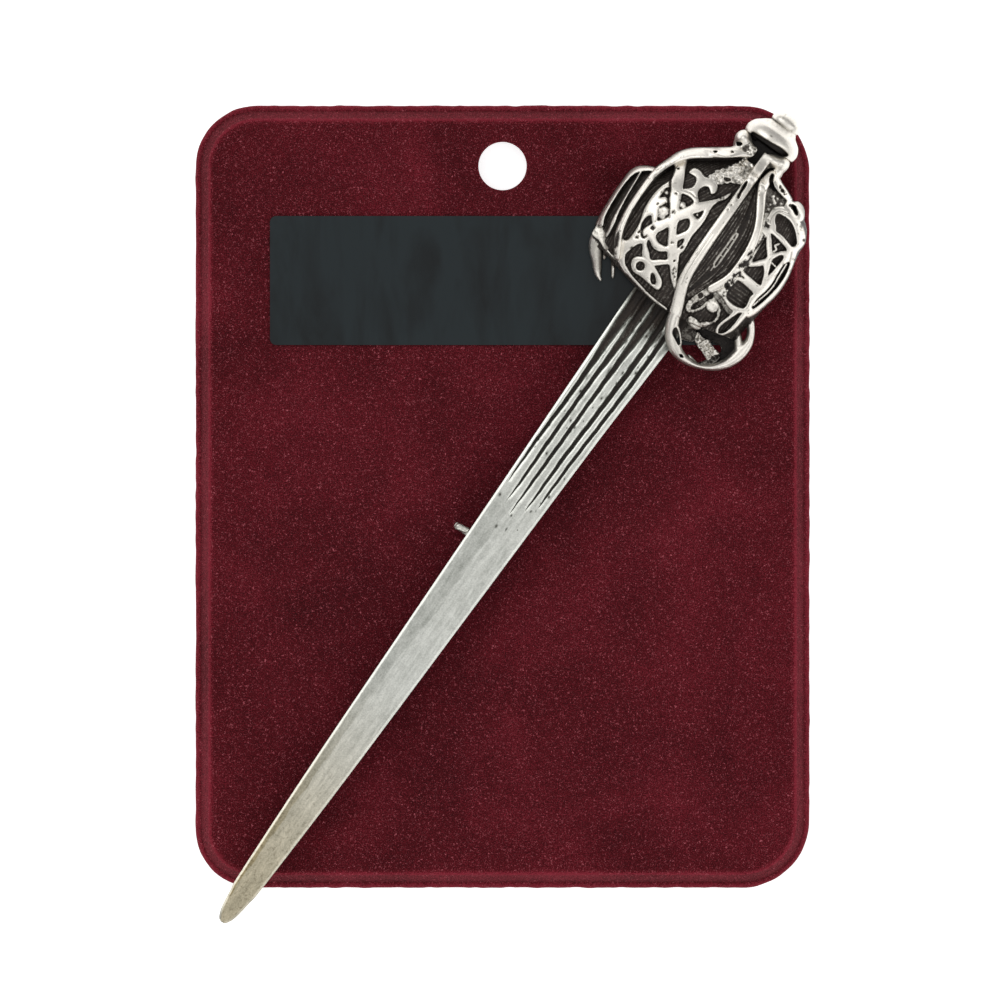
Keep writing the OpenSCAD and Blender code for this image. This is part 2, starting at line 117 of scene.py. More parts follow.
def addMix(tree, share, under, over, blend="MIX"):
    # lays the hex colour over on the colour under
    return addNode(tree, "ShaderNodeMixRGB", {"blend_type": blend, "Color2": linear(over)},
                   {"Fac": share, "Color1": under}).outputs[0]


def addBump(tree, height, strength, depth):
    return addNode(tree, "ShaderNodeBump", {"Strength": strength, "Distance": depth * mm},
                   {"Height": height}).outputs[0]


def addShader(tree, settings, links=None):
    shader = addNode(tree, "ShaderNodeBsdfPrincipled", settings, links)
    addNode(tree, "ShaderNodeOutputMaterial", {}, {"Surface": shader.outputs[0]})


def smoothStep(low, high, value):
    t = np.clip((value - low) / (high - low), 0, 1)
    return t * t * (3 - 2 * t)


def curve(a, b, c, d, t):
    # a place from b to c on the smooth line through four points
    return 0.5 * (2 * b + (c - a) * t + (2 * a - 5 * b + 4 * c - d) * t * t
                  + (3 * b - a - 3 * c + d) * t ** 3)


def smoothRun(rows, steps):
    # a smooth line through rows of numbers, with steps points to each stretch
    rows = np.asarray(rows, float)
    padded = np.vstack([rows[0], rows, rows[-1]])
    out = [curve(*padded[i - 1:i + 3], t) for i in range(1, len(rows)) for t in np.arange(steps) / steps]
    return np.array(out + [rows[-1]])


def smoothLoop(points, steps):
    # a closed outline, rounded off between its points
    p = np.asarray(points, float)
    corners = np.roll(p, 1, 0), p, np.roll(p, -1, 0), np.roll(p, -2, 0)
    return np.stack([curve(*corners, t) for t in np.arange(steps) / steps], axis=1).reshape(-1, 2)


def between(grid, u, v, soft=False):
    # the value of a grid at places between its points
    i, j = u.astype(int), v.astype(int)
    fu, fv = u - i, v - j
    if soft:
        fu, fv = smoothStep(0, 1, fu), smoothStep(0, 1, fv)
    return ((grid[i, j] * (1 - fu) + grid[i + 1, j] * fu) * (1 - fv)
            + (grid[i, j + 1] * (1 - fu) + grid[i + 1, j + 1] * fu) * fv)


def signedVolume(mesh):
    mesh.calc_loop_triangles()
    index = np.empty(len(mesh.loop_triangles) * 3, np.int32)
    mesh.loop_triangles.foreach_get("vertices", index)
    points = np.empty(len(mesh.vertices) * 3, np.float32)
    mesh.vertices.foreach_get("co", points)
    t = points.reshape(-1, 3)[index.reshape(-1, 3)].astype(float)
    return np.einsum("ij,ij->i", t[:, 0], np.cross(t[:, 1], t[:, 2])).sum()


def setPointValues(mesh, values):
    for key, numbers in values.items():
        layer = mesh.attributes.new(key, "FLOAT", "POINT")
        layer.data.foreach_set("value", np.asarray(numbers, np.float32))


def makeObject(name, points, faces, material, node, attributes):
    # a mesh of points in metres and lists of faces, standing for one node of the frame
    mesh = bpy.data.meshes.new(name)
    sizes = np.concatenate([np.full(len(f), f.shape[1]) for f in faces])
    loops = np.concatenate([f.ravel() for f in faces])
    mesh.vertices.add(len(points))
    mesh.vertices.foreach_set("co", np.asarray(points, np.float32).ravel())
    mesh.loops.add(len(loops))
    mesh.loops.foreach_set("vertex_index", loops.astype(np.int32))
    mesh.polygons.add(len(sizes))
    mesh.polygons.foreach_set("loop_start", (np.cumsum(sizes) - sizes).astype(np.int32))
    mesh.polygons.foreach_set("use_smooth", np.full(len(sizes), True))
    mesh.update(calc_edges=True)
    mesh.validate()
    setPointValues(mesh, attributes)
    mesh.materials.append(material)
    # its faces look outwards
    if signedVolume(mesh) < 0:
        mesh.flip_normals()
    made = bpy.data.objects.new(name, mesh)
    bpy.context.scene.collection.objects.link(made)
    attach(made, "root")
    if node:
        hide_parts(node)
    return made


def gridFaces(rows, columns):
    # quads between the points of a grid stored row by row, whose last column joins its first
    i, j = np.meshgrid(np.arange(rows - 1), np.arange(columns), indexing="ij")
    a, b = i * columns + j, i * columns + (j + 1) % columns
    return np.stack([a, b, b + columns, a + columns], axis=-1).reshape(-1, 4)


def tubeFaces(rows, columns, turn):
    # the same with a face over each end; turn is 1 or -1, the way that the first end is wound
    ring = np.arange(columns)[None, :]
    return [gridFaces(rows, columns), ring[:, ::turn], ring[:, ::-turn] + (rows - 1) * columns]


def decimateTo(made, triangles):
    # fewer triangles where the surface is flat, so that the piece keeps to its budget
    made.data.calc_loop_triangles()
    count = len(made.data.loop_triangles)
    if count <= triangles:
        return
    modifier = made.modifiers.new("fewer", "DECIMATE")
    modifier.ratio = triangles / count
    evaluated = made.evaluated_get(bpy.context.evaluated_depsgraph_get())
    mesh = bpy.data.meshes.new_from_object(evaluated)
    made.modifiers.clear()
    old = made.data
    made.data = mesh
    bpy.data.meshes.remove(old)
    mesh.name = made.name
    print("  ", made.name, count, "->", triangles, "triangles")


# Cast pewter, tumbled and polished over a black patina: raised metal is near white, and the
# oxide that stays in the recesses is brown black. The polish attribute says which is which,
# and also carries painted light: painted shade on the hilt's sides and hollows, painted highlights on the
# blade.
castLook = {
    "bright": "#f1ece3", "worn": "#b5b1a8", "patina": "#3a332e", "patinaDeep": "#171311",
    "grainSize": 0.16, "blotchSize": 1.1, "pitSize": 0.45, "roughness": 0.38, "patinaRoughness": 0.55,
    "tarnish": "#e8dfc9", "dot": "#50442f", "dotSize": 0.34,
}
# the blade was rubbed down flat, and looks greyer and cooler than the cast relief
rubbedLook = dict(castLook, bright="#e0e1da", tarnish="#efd8ac", worn="#8f918a", patina="#352d27",
                  roughness=0.3)


def pewterMaterial(name, look):
    material, tree = newMaterial(name)
    place = addNode(tree, "ShaderNodeTexCoord", {})
    polish = addNode(tree, "ShaderNodeAttribute", {"attribute_name": "polish"}).outputs["Fac"]
    warm = addNode(tree, "ShaderNodeAttribute", {"attribute_name": "warm"}).outputs["Fac"]
    grain = addNoise(tree, place, look["grainSize"], {"Detail": 3, "Roughness": 0.6})
    blotch = addNoise(tree, place, look["blotchSize"], {"Detail": 4, "Roughness": 0.65})
    # the patina's edge wanders by the size of a grain, and in broader blotches
    shake = addMath(tree, "MULTIPLY_ADD", grain, 0.42, -0.21)
    shift = addMath(tree, "MULTIPLY_ADD", blotch, 0.26, -0.13)
    level = addMath(tree, "ADD", polish, addMath(tree, "ADD", shake, shift))
    colour = addRamp(tree, level, [(0.0, look["patinaDeep"]), (0.22, look["patina"]),
                                   (0.55, look["worn"]), (0.98, look["bright"])])
    # tarnish yellows the metal and gathers in dots
    colour = addMix(tree, warm, colour, look["tarnish"], "MULTIPLY")
    dots = addRange(tree, addNoise(tree, place, look["dotSize"], {"Detail": 2}), 0.55, 0.7, 0.0, 0.62)
    colour = addMix(tree, addMath(tree, "MULTIPLY", dots, warm), colour, look["dot"])
    rough = addRange(tree, level, 0.15, 0.85, look["patinaRoughness"], look["roughness"])
    metal = addRange(tree, level, 0.1, 0.45, 0.55, 1.0)
    pits = addNode(tree, "ShaderNodeTexVoronoi", {"Scale": 1 / (look["pitSize"] * mm)},
                   {"Vector": place.outputs["Object"]})
    pitDepth = addRange(tree, pits.outputs["Distance"], 0.0, 0.22)
    bump = addBump(tree, addMath(tree, "MULTIPLY_ADD", pitDepth, 0.25, grain), 0.28, 0.03)
    addShader(tree, {}, {"Base Color": colour, "Roughness": rough, "Metallic": metal, "Normal": bump})
    return material


# Velvet flock: half-millimetre nylon fibres stood on end in glue. It is deep red and takes little
# light head on; painted glints stand for the light at single fibre tips, and the edge tone pales it
# where the nap leans over an edge and paints highlights and shade along the rim.
flockLook = {
    "deep": "#2b050a", "red": "#4c0a12", "tip": "#862735", "glint": "#ad5761", "sheen": "#c06a70",
    "fibreSize": 0.13, "clumpSize": 0.7, "napSize": 13, "glintSize": 0.17,
}


def flockMaterial():
    look = flockLook
    material, tree = newMaterial("velvetFlock")
    place = addNode(tree, "ShaderNodeTexCoord", {})
    edge = addNode(tree, "ShaderNodeAttribute", {"attribute_name": "edge"}).outputs["Fac"]
    fibre = addNoise(tree, place, look["fibreSize"], {"Detail": 2, "Roughness": 0.75})
    clump = addNoise(tree, place, look["clumpSize"], {"Detail": 3, "Roughness": 0.6})
    nap = addNoise(tree, place, look["napSize"], {"Detail": 3, "Roughness": 0.55, "Distortion": 0.6})
    fur = addMath(tree, "MULTIPLY_ADD", clump, 0.1, addMath(tree, "MULTIPLY", fibre, 0.86))
    # the edge tone: the nap leaning over the rim, with painted highlights and painted shade
    tone = addMath(tree, "MULTIPLY_ADD", edge, 0.19, addMath(tree, "MULTIPLY_ADD", nap, 0.24, fur))
    colour = addRamp(tree, tone, [(0.46, look["deep"]), (0.615, look["red"]), (0.825, look["tip"])])
    # painted glints: pale flecks where a fine noise peaks, for light caught on fibre tips
    glint = addNoise(tree, place, look["glintSize"], {"Detail": 1, "Roughness": 0.5, "Distortion": 1.3})
    colour = addMix(tree, addRange(tree, glint, 0.62, 0.75), colour, look["glint"])
    addShader(tree, {"Roughness": 0.95, "Specular IOR Level": 0.15, "Sheen Weight": 0.045,
                     "Sheen Roughness": 0.45, "Sheen Tint": linear(look["sheen"])},
              {"Base Color": colour, "Normal": addBump(tree, fur, 0.8, 0.12)})
    return material


# Printed polyester film, laminated: near black with a blue cast, and as glossy as wet paint
labelLook = {"film": "#070c0e", "film2": "#182124", "reflectionLong": 14, "reflectionWide": 4, "waveSize": 9}


def labelMaterial():
    look = labelLook
    material, tree = newMaterial("glossyFilm")
    place = addNode(tree, "ShaderNodeTexCoord", {})
    # painted reflections: streaks of lighter film colour, longer than they are wide
    turned = addNode(tree, "ShaderNodeMapping",
                     {"Rotation": (0, 0, 0.35),
                      "Scale": (1 / (look["reflectionWide"] * mm), 1 / (look["reflectionLong"] * mm), 0)},
                     {"Vector": place.outputs["Object"]})
    paintedReflection = addNode(tree, "ShaderNodeTexNoise",
                    {"Scale": 1.0, "Detail": 4, "Roughness": 0.55, "Distortion": 0.4},
                    {"Vector": turned.outputs[0]})
    colour = addRamp(tree, paintedReflection.outputs["Fac"], [(0.3, look["film"]), (0.55, look["film2"])])
    wave = addNoise(tree, place, look["waveSize"], {"Detail": 1})
    addShader(tree, {"Roughness": 0.16, "Specular IOR Level": 0.27},
              {"Base Color": colour, "Normal": addBump(tree, wave, 0.12, 0.25)})
    return material


# Nickel-plated steel, drawn and bent: plain bright wire with faint drawing lines
wireLook = {"shade": "#b3b1a9", "bright": "#ebe8df", "lineSize": 0.3}


def wireMaterial():
    material, tree = newMaterial("platedSteel")
    place = addNode(tree, "ShaderNodeTexCoord", {})
    line = addNoise(tree, place, wireLook["lineSize"], {"Detail": 3})
    colour = addRamp(tree, line, [(0.3, wireLook["shade"]), (0.7, wireLook["bright"])])
    addShader(tree, {"Metallic": 1.0, "Roughness": 0.3},
              {"Base Color": colour, "Normal": addBump(tree, line, 0.2, 0.03)})
    return material


castPewter = pewterMaterial("castPewter", castLook)
rubbedPewter = pewterMaterial("rubbedPewter", rubbedLook)
flock = flockMaterial()
print("materials made")


# the basket hilt: a rounded ground, pierced plates and bars painted on it as relief, and free bars

hilt = {
    "mapStep": 0.05, "voxel": 0.09, "low": [-11.7, -12.5, -0.36], "high": [11.9, 13.5, 9.4],
    "triangles": 195000, "square": 2.3, "footY": -8.05, "headY": 12.6, "blend": 0.12,
    "plateRise": 0.5, "barRise": 0.95, "wallRun": 0.15, "crown": 0.1, "crownRun": 0.4,
    "slotX": [3.1, 5.4], "slotTop": [5.6, 4.2], "slotDeep": 1.3,
    "ribCount": 66, "ribPitch": 0.42, "ribRise": 0.04, "recessPolish": 0.2,
    "collarR": 1.6, "collarY": 12, "collarZ": 1.1, "collarHalf": 1.2, "hollowZ": 1.7,
}

# cross-sections of the ground; columns: y at the middle, left edge, right edge, height, sag
groundRows = [
    [-8.05, -10.1, 9.3, 5.9, 0.03], [-6.6, -10.5, 9.4, 6.6, 0.022], [-4.6, -10.8, 9.6, 7.2, 0.012],
    [-2.2, -10.9, 9.8, 7.6, 0.004], [0.6, -10.9, 10, 7.8, 0], [2.6, -10.5, 9.9, 7.6, 0],
    [4.1, -9.1, 9.7, 7.3, 0], [5.6, -7.9, 9.5, 6.8, 0], [7.3, -7, 9.2, 6.1, 0],
    [8.7, -5.6, 8.2, 5.1, 0], [9.9, -3.9, 5.6, 3.9, 0], [11.1, -2.6, 2.9, 3.2, 0],
    [12.6, -1.9, 1.9, 2.6, 0],
]

# bars that stand highest; columns: x, y, width
mainBars = [
    # the long bar down the middle
    [[0.5, 12.3, 1.0], [0.55, 11, 1.15], [0.55, 8.2, 1.1], [0.55, 5.2, 1.15], [0.55, 2, 1.2],
     [0.6, -0.8, 1.2], [0.72, -3.1, 1.22], [0.95, -4.4, 1.22], [1.35, -5.6, 1.24], [1.8, -6.7, 1.28],
     [2.2, -7.8, 1.34]],
    # the bar right of it, down to where its surface turns rough
    [[2.15, 10.9, 1.0], [1.95, 9.6, 1.1], [2.35, 8.5, 1], [3.05, 7.3, 0.95], [3.8, 6, 0.85],
     [4.4, 4.6, 0.85], [4.85, 2.8, 0.95], [5, 1.1, 1], [4.95, -0.5, 1.02], [4.65, -1.6, 0.95],
     [4.2, -2.6, 0.95], [3.85, -3.2, 0.85]],
    # the bar down the left side
    [[-0.9, 11.9, 1.2], [-2.2, 11, 1.2], [-3.3, 10.1, 1.2], [-5, 8.85, 1.2], [-6.4, 7.8, 1.2],
     [-7.3, 6.8, 1.1], [-7.85, 5.7, 0.85], [-8.3, 4.4, 0.75], [-8.55, 3.1, 0.65], [-8.6, 1.1, 0.62],
     [-8.55, -0.9, 0.62], [-8.35, -2.4, 0.65], [-7.95, -4, 0.75], [-7.25, -5.3, 0.75], [-6.6, -6.3, 0.6]],
]

# The two pierced plates. Points are x, y; every outline is rounded off between them.
leftPlate = {
    "outline": [
        [-7.05, 7.5], [-6.65, 7.25], [-6.05, 5.95], [-5.5, 4.9], [-5.05, 4], [-4.6, 3.95], [-3.3, 3.7],
        [-2.75, 3.75], [-2.1, 4.35], [-1.45, 5.05], [-0.9, 5.85], [-0.45, 6.6], [-0.4, 6.15], [-0.65, 5.5],
        [-1.05, 4.85], [-1.25, 4.2], [-1.15, 3.3], [-1.05, 2.4], [-1.1, 1.3], [-1.2, 0.35], [-1.1, -0.65],
        [-1, -1.55], [-1.15, -2.1], [-0.9, -2.65], [-0.45, -3.5], [0.1, -4.4], [0.55, -5.5], [0.15, -5.3],
        [-0.55, -4.7], [-1.2, -3.95], [-1.65, -3.8], [-2.75, -4.8], [-3.4, -4.8], [-4.35, -4.7],
        [-5.05, -3.65], [-5.35, -3.65], [-5.65, -4.05], [-5.95, -5.05], [-6, -5.6], [-5.6, -6.25],
        [-5.05, -6.75], [-4.2, -7.05], [-4.95, -7.25], [-5.95, -6.8], [-6.7, -6.4], [-7.05, -5.5],
        [-7.7, -4.4], [-8.35, -2.2], [-8.7, 0], [-8.65, 2.2], [-8.25, 4.2], [-7.6, 6.3]],
    "openings": [
        # the long lens beside the left bar
        [[-7.5, 5.45], [-7.15, 5.5], [-6.85, 4.95], [-6.65, 4.2], [-6.8, 3.6], [-7.15, 2.75], [-7.3, 1.65],
         [-7.3, 0.55], [-7.15, -0.55], [-6.85, -1.45], [-6.7, -2.2], [-6.65, -2.9], [-6.7, -3.95],
         [-7, -4.3], [-7.3, -4.2], [-7.7, -3.3], [-8, -2], [-8.25, 0], [-8.25, 1.65], [-8.1, 3.3],
         [-7.9, 4.4], [-7.7, 5.2]],
        # under the small arch
        [[-4.8, 3.45], [-4.4, 3.6], [-4, 3.65], [-3.5, 3.6], [-3.2, 3.4], [-3.35, 2.85], [-3.7, 2.3],
         [-4, 1.9], [-4.25, 2.25], [-4.5, 2.85]],
        # the small ones at the left
        [[-6.6, 2.95], [-6.25, 3.25], [-6, 2.8], [-5.6, 2.25], [-6.1, 2.1], [-6.55, 1.7], [-6.6, 2.2]],
        [[-5.5, 1.75], [-5.05, 1.5], [-4.7, 1], [-4.55, 0.55], [-4.85, 0], [-5.3, -0.5], [-5.6, 0.05],
         [-5.95, 0.65], [-5.85, 1.2]],
        [[-6.15, -0.45], [-5.9, -0.75], [-5.6, -1.1], [-5.85, -1.65], [-6.15, -2.35], [-6.5, -1.85],
         [-6.55, -1.2], [-6.45, -0.7]],
        # the kite and the round diamond
        [[-3.9, -0.45], [-4.2, -1], [-4.5, -1.6], [-4.4, -2.05], [-3.95, -2.35], [-3.4, -2.4],
         [-2.8, -2.2], [-3.1, -1.65], [-3.5, -0.95]],
        [[-2.65, 1.6], [-2.3, 1.4], [-2.1, 1], [-2.05, 0.5], [-2.3, 0], [-2.65, -0.5], [-3, -0.1],
         [-3.25, 0.4], [-3.3, 0.8], [-3, 1.3]],
        # the small ones at the right
        [[-1.8, 3.3], [-1.65, 2.75], [-1.75, 2.2], [-2.1, 2.2], [-2.5, 2.35], [-2.1, 2.85]],
        [[-1.8, -0.45], [-1.6, -0.9], [-1.65, -1.45], [-1.8, -1.65], [-2.15, -1.15], [-2.1, -0.9]],
        # the crescent
        [[-4.9, -2.8], [-4.5, -2.9], [-4, -3.2], [-3.3, -3.2], [-2.85, -2.95], [-2.5, -2.7],
         [-2.25, -2.95], [-2, -3.4], [-2.65, -3.85], [-3.4, -4.4], [-4.05, -3.85], [-4.75, -3.3]],
    ],
}
# the stem with two horns that stands on the small arch
hornedStem = {
    "outline": [
        [-5.5, 6.15], [-5.35, 6.55], [-4.85, 6.75], [-4.3, 6.6], [-3.85, 6.45], [-3.3, 6.6], [-2.65, 6.65],
        [-2.1, 6.4], [-1.85, 5.85], [-2, 5.4], [-2.2, 5.3], [-2.4, 5.45], [-2.75, 5.7], [-3.1, 5.65],
        [-3.35, 5.4], [-3.5, 4.95], [-3.45, 4.55], [-3.1, 4.1], [-2.75, 3.6], [-4.95, 3.6], [-4.85, 4.05],
        [-4.5, 4.35], [-4.25, 4.7], [-4.2, 5.05], [-4.3, 5.5], [-4.55, 5.8], [-4.95, 5.85], [-5.3, 5.8],
        [-5.5, 5.85]],
    "openings": [leftPlate["openings"][1]],
}
# the knot of two loops below the crescent
knot = {
    "outline": [
        [-3.65, -4.5], [-2.65, -4.8], [-1.85, -5.15], [-1.1, -5.6], [-0.75, -6.25], [-0.9, -6.7],
        [-1.55, -6.75], [-2.4, -6.65], [-3.3, -6.55], [-4.2, -6.6], [-4.85, -6.15], [-5.1, -5.5],
        [-4.85, -5], [-4.3, -4.7]],
    "openings": [
        [[-3.95, -5.15], [-3.6, -5.3], [-3.45, -5.65], [-3.6, -6], [-3.95, -6.15], [-4.3, -6],
         [-4.45, -5.65], [-4.3, -5.3]],
        [[-2.5, -5.55], [-2.1, -5.55], [-1.55, -6.05], [-1.5, -6.4], [-1.85, -6.5], [-2.3, -6.1]]],
}
rightPlate = {
    "outline": [
        [4.3, 7.7], [4.5, 8.25], [5.15, 8.75], [6.05, 8.85], [6.95, 8.65], [7.9, 8.3], [8.6, 7.85],
        [9.15, 7.25], [9.35, 6.6], [9.25, 5.7], [9.35, 5.2], [9.6, 4.4], [9.9, 3.3], [10.1, 2.2],
        [10.15, 1.1], [10.05, 0], [9.8, -1.1], [9.6, -2], [9.35, -2.85], [9, -3.4], [8.6, -3.45],
        [8.15, -3.4], [7.6, -3.75], [6.8, -3.8], [6.15, -3.6], [5.5, -3.3], [4.85, -3.2], [4.2, -3.05],
        [3.9, -2.7], [4.2, -1.5], [4.6, -0.35], [4.7, 1], [4.6, 2.4], [4.4, 3.65], [4.1, 4.6],
        [3.7, 5.6], [3.2, 6.5], [3.7, 6.6], [4.2, 6.3], [4.35, 6.9]],
    "openings": [
        # the large oval at the top
        [[5.05, 7.75], [5.6, 7.9], [6.6, 7.9], [7.6, 7.4], [8.35, 6.7], [8.7, 6.2], [8.45, 5.7],
         [7.7, 5.85], [6.8, 6.05], [6.05, 6.05], [5.7, 6.5], [5.3, 6.85], [5.05, 7.3]],
        # round the crossing: above, left, right and below
        [[5.7, 5.55], [6.8, 5.45], [8.2, 5.1], [7.7, 4.55], [7.15, 3.9], [6.7, 4.3], [6.2, 4.95]],
        [[5.5, 4.95], [5.85, 4.4], [6.4, 3.7], [6.85, 3.1], [6.35, 2.4], [5.8, 1.8], [5.6, 2.75],
         [5.5, 3.85]],
        [[8.2, 4.35], [8.4, 4.05], [8.35, 3.1], [8.25, 2.2], [8.1, 1.6], [7.85, 2.2], [7.55, 2.95],
         [7.5, 3.35], [7.7, 3.85], [7.9, 4.2]],
        [[7.05, 2.15], [6.7, 1.85], [6.15, 1.4], [5.6, 0.9], [5.7, 0.4], [6.8, 0.27], [8, 0.2],
         [7.9, 0.75], [7.6, 1.5]],
        # the square one
        [[5.7, -0.75], [6.8, -0.75], [7.9, -0.95], [7.85, -1.45], [8, -2.1], [8.05, -2.75],
         [7.7, -3.05], [6.8, -3.25], [5.85, -3.1], [5.55, -2.7], [5.5, -1.85], [5.6, -1.1]],
        # the long slot inside the outer edge
        [[9.05, 4.1], [9.3, 4.05], [9.55, 3.3], [9.7, 2.2], [9.65, 0.9], [9.45, -0.45], [9.2, -1.5],
         [8.9, -2.3], [8.6, -2.2], [8.6, -1.1], [8.85, 0], [8.95, 1.1], [8.85, 2.2], [8.8, 3.3],
         [8.9, 3.8]],
    ],
}

headRing = {
    "outline": [
        [5.1, 9.75], [5.7, 9.8], [6.1, 10.2], [6.7, 10.25], [7.2, 10], [7.5, 9.5], [7.7, 9], [7.6, 8.5],
        [6.6, 8], [5.5, 8], [5.2, 8.7]],
    "openings": [
        [[5.95, 9.45], [6.4, 9.45], [6.75, 9.2], [6.95, 8.9], [6.8, 8.75], [6.4, 8.9], [6.05, 9.15]]],
}

# straps and thin bars; columns: x, y, width
straps = [
    # the head of the right plate
    [[2.3, 11.1, 0.5], [3.2, 10.45, 0.9], [4.2, 10.1, 0.85], [5.2, 9.8, 0.55]],
    # far left: the outer bar
    [[-8.6, 4, 0.3], [-9.5, 3.6, 0.55], [-10.25, 3, 0.65], [-10.65, 2.2, 0.55], [-10.75, 1.1, 0.4],
     [-10.75, -0.6, 0.38], [-10.65, -2.2, 0.4], [-10.5, -3.5, 0.5], [-10.25, -4.4, 0.75]],
    # the drop under the right plate
    [[7.5, -3.6, 0.6], [7.35, -4.45, 0.3], [7, -5.5, 0.26], [6.9, -6.25, 0.26], [7.2, -6.85, 0.28],
     [7.6, -6.7, 0.25], [7.9, -6.35, 0.22], [8.2, -5.7, 0.33], [8.35, -5, 0.44], [8.4, -4.2, 0.52],
     [8.45, -3.4, 0.6]],
    # the foot of the basket, left part
    [[-6.3, -6.35, 0.5], [-5.4, -6.75, 0.55], [-4.4, -7.1, 0.35], [-3.3, -7.35, 0.28],
     [-1.1, -7.75, 0.25], [1.1, -7.85, 0.22]],
    # thin bars in the side openings, a curl and a bridge
    [[9.05, 3.75, 0.15], [9.13, 2.2, 0.15], [9.24, 1.1, 0.15], [9.13, 0, 0.15], [8.86, -1.1, 0.15],
     [8.7, -2, 0.14]],
    [[-9.9, 3, 0.17], [-9.8, 2.2, 0.14], [-9.65, 0, 0.14], [-9.4, -2.2, 0.26], [-9.18, -3.3, 0.38],
     [-8.97, -4.4, 0.28], [-8.9, -5.1, 0.2]],
    [[-7.9, -6.35, 0.25], [-7.3, -6.5, 0.2], [-6.7, -6.55, 0.25]],
    [[7.05, 5.1, 0.22], [6.85, 4.7, 0.22], [7.2, 4.45, 0.18], [7.1, 4.1, 0.2]],
    [[7.65, 2.95, 0.17], [8.15, 2.88, 0.17]],
]
# straps that were never polished smooth; columns: x, y, width
roughStraps = [
    [[3.85, -3.1, 0.85], [3.3, -4.6, 0.7], [2.95, -5.5, 0.65], [2.85, -6.2, 0.6], [3.2, -6.6, 0.4]],
    [[4.75, -4, 0.38], [5.5, -4.3, 0.33], [5.95, -4.7, 0.3], [6.2, -5.3, 0.28], [6.2, -5.85, 0.28],
     [5.9, -6.4, 0.33], [5.3, -6.85, 0.42]],
    [[4.5, -4.3, 0.33], [4.25, -5.3, 0.28], [4, -5.9, 0.28], [3.6, -6.4, 0.33]],
]
# faint lines chased in the dark field between the two long bars; columns: x, y, width
chasedLines = [
    [[3.95, -0.4, 0.1], [3.8, -1.1, 0.12], [3.55, -1.75, 0.05]], [[2.25, -0.6, 0.07], [2.25, -2.2, 0.06]],
]
# the field's edge along the second bar; the lines between its two edges are drawn from it
fieldEdge = [
    [1.7, 8.8], [2.4, 7.7], [3.3, 6.4], [3.9, 5.3], [4.3, 4.2], [4.5, 3.1], [4.62, 1.65], [4.62, 0],
    [4.4, -1.3], [4.07, -2.4], [3.6, -3.3], [3, -4.4], [2.5, -5.3],
]
fieldStart, fieldShares = 1.15, [0.06, 0.16, 0.26, 0.36, 0.66, 0.77, 0.87, 0.95]
chasedFrame = [
    [[2.36, 4.4, 0.12], [2.4, 3.5, 0.14]],
    [[2.5, -0.8, 0.16], [2.5, 3, 0.16], [2.65, 3.3, 0.14], [2.85, 3, 0.16], [2.9, -0.8, 0.16],
     [2.5, -0.8, 0.16]],
    [[2.5, 2.6, 0.1], [2.85, 2.6, 0.1]], [[2.5, 1.4, 0.1], [2.85, 1.4, 0.1]],
    [[2.5, 0.4, 0.1], [2.85, 0.4, 0.1]], [[2.65, -0.9, 0.12], [2.65, -1.6, 0.1]],
]

# narrow gaps where one strap passes under another; columns: x, y, width
gaps = [
    [[-6.95, 4.3, 0.08], [-6.6, 3.75, 0.16], [-6.2, 3.2, 0.16], [-5.85, 2.5, 0.16]],
    [[-5.85, 2.3, 0.1], [-5.5, 1.9, 0.17], [-5.15, 1.4, 0.2]], [[-6.05, -2, 0.09], [-6.25, -2.75, 0.1]],
    [[-6.05, -2.3, 0.1], [-5.8, -2.75, 0.13], [-5.45, -2.88, 0.13], [-5.3, -2.55, 0.08]],
    [[2.15, 10.85, 0.3], [2.4, 10.25, 0.32], [2.8, 9.85, 0.3], [3.3, 9.7, 0.2]],
    [[-1.9, 7.55, 0.2], [-1.65, 7.6, 0.34], [-1.4, 7.75, 0.2]],
    [[0.27, 8.55, 0.12], [0.33, 8, 0.26], [0.38, 7.3, 0.14], [0.42, 6.9, 0.2], [0.53, 6.6, 0.08]],
]
# thin grooves in the bars; columns: x, y, width
seams = [
    [[0.45, 1.8, 0.03], [0.48, -1, 0.07], [0.6, -3.2, 0.07], [0.9, -4.8, 0.03]],
    [[-4.9, 1.1, 0.06], [-4.4, 0.5, 0.05]],
    [[-9.3, -6.35, 0.5], [-8.75, -7.2, 0.5], [-8.15, -8, 0.3], [-7.5, -8.7, 0.15]],
    [[-4.6, 3.9, 0.03], [-4.1, 4.1, 0.05], [-3.4, 4, 0.03]], [[-8.6, 3.9, 0.05], [-8.3, 4.6, 0.05]],
    [[4.9, 6.6, 0.04], [4.75, 7.4, 0.08], [5.1, 8.15, 0.08], [6, 8.4, 0.04]],
    [[8.7, 5.2, 0.03], [9, 4.6, 0.06], [9.4, 3.4, 0.03]],
]

# low lumps and balls; columns: x, y, radius, rise, polish
lumps = [
    [-5.3, 0.75, 0.55, 0.36, 0.95], [-5.25, 0.35, 0.45, 0.34, 0.85], [-4, 2.5, 0.33, 0.3, 0.95],
    [5.1, -4.75, 0.62, 0.45, 1], [-6.25, 2.6, 0.2, 0.25, 0.9], [-2.05, 2.5, 0.1, 0.2, 0.8],
    [3.6, 9, 0.12, 0.3, 1.5], [3.75, 8.82, 0.1, 0.3, 1.3], [3.95, 8.65, 0.1, 0.3, 1.5],
    [4.15, 8.5, 0.12, 0.3, 1.6], [4.1, 9.1, 0.1, 0.3, 1.1], [3.85, 8.1, 0.1, 0.3, 1.1],
    [3.95, 7.6, 0.08, 0.3, 1.2], [4.75, 8.8, 0.18, 0.25, 0.8],
]
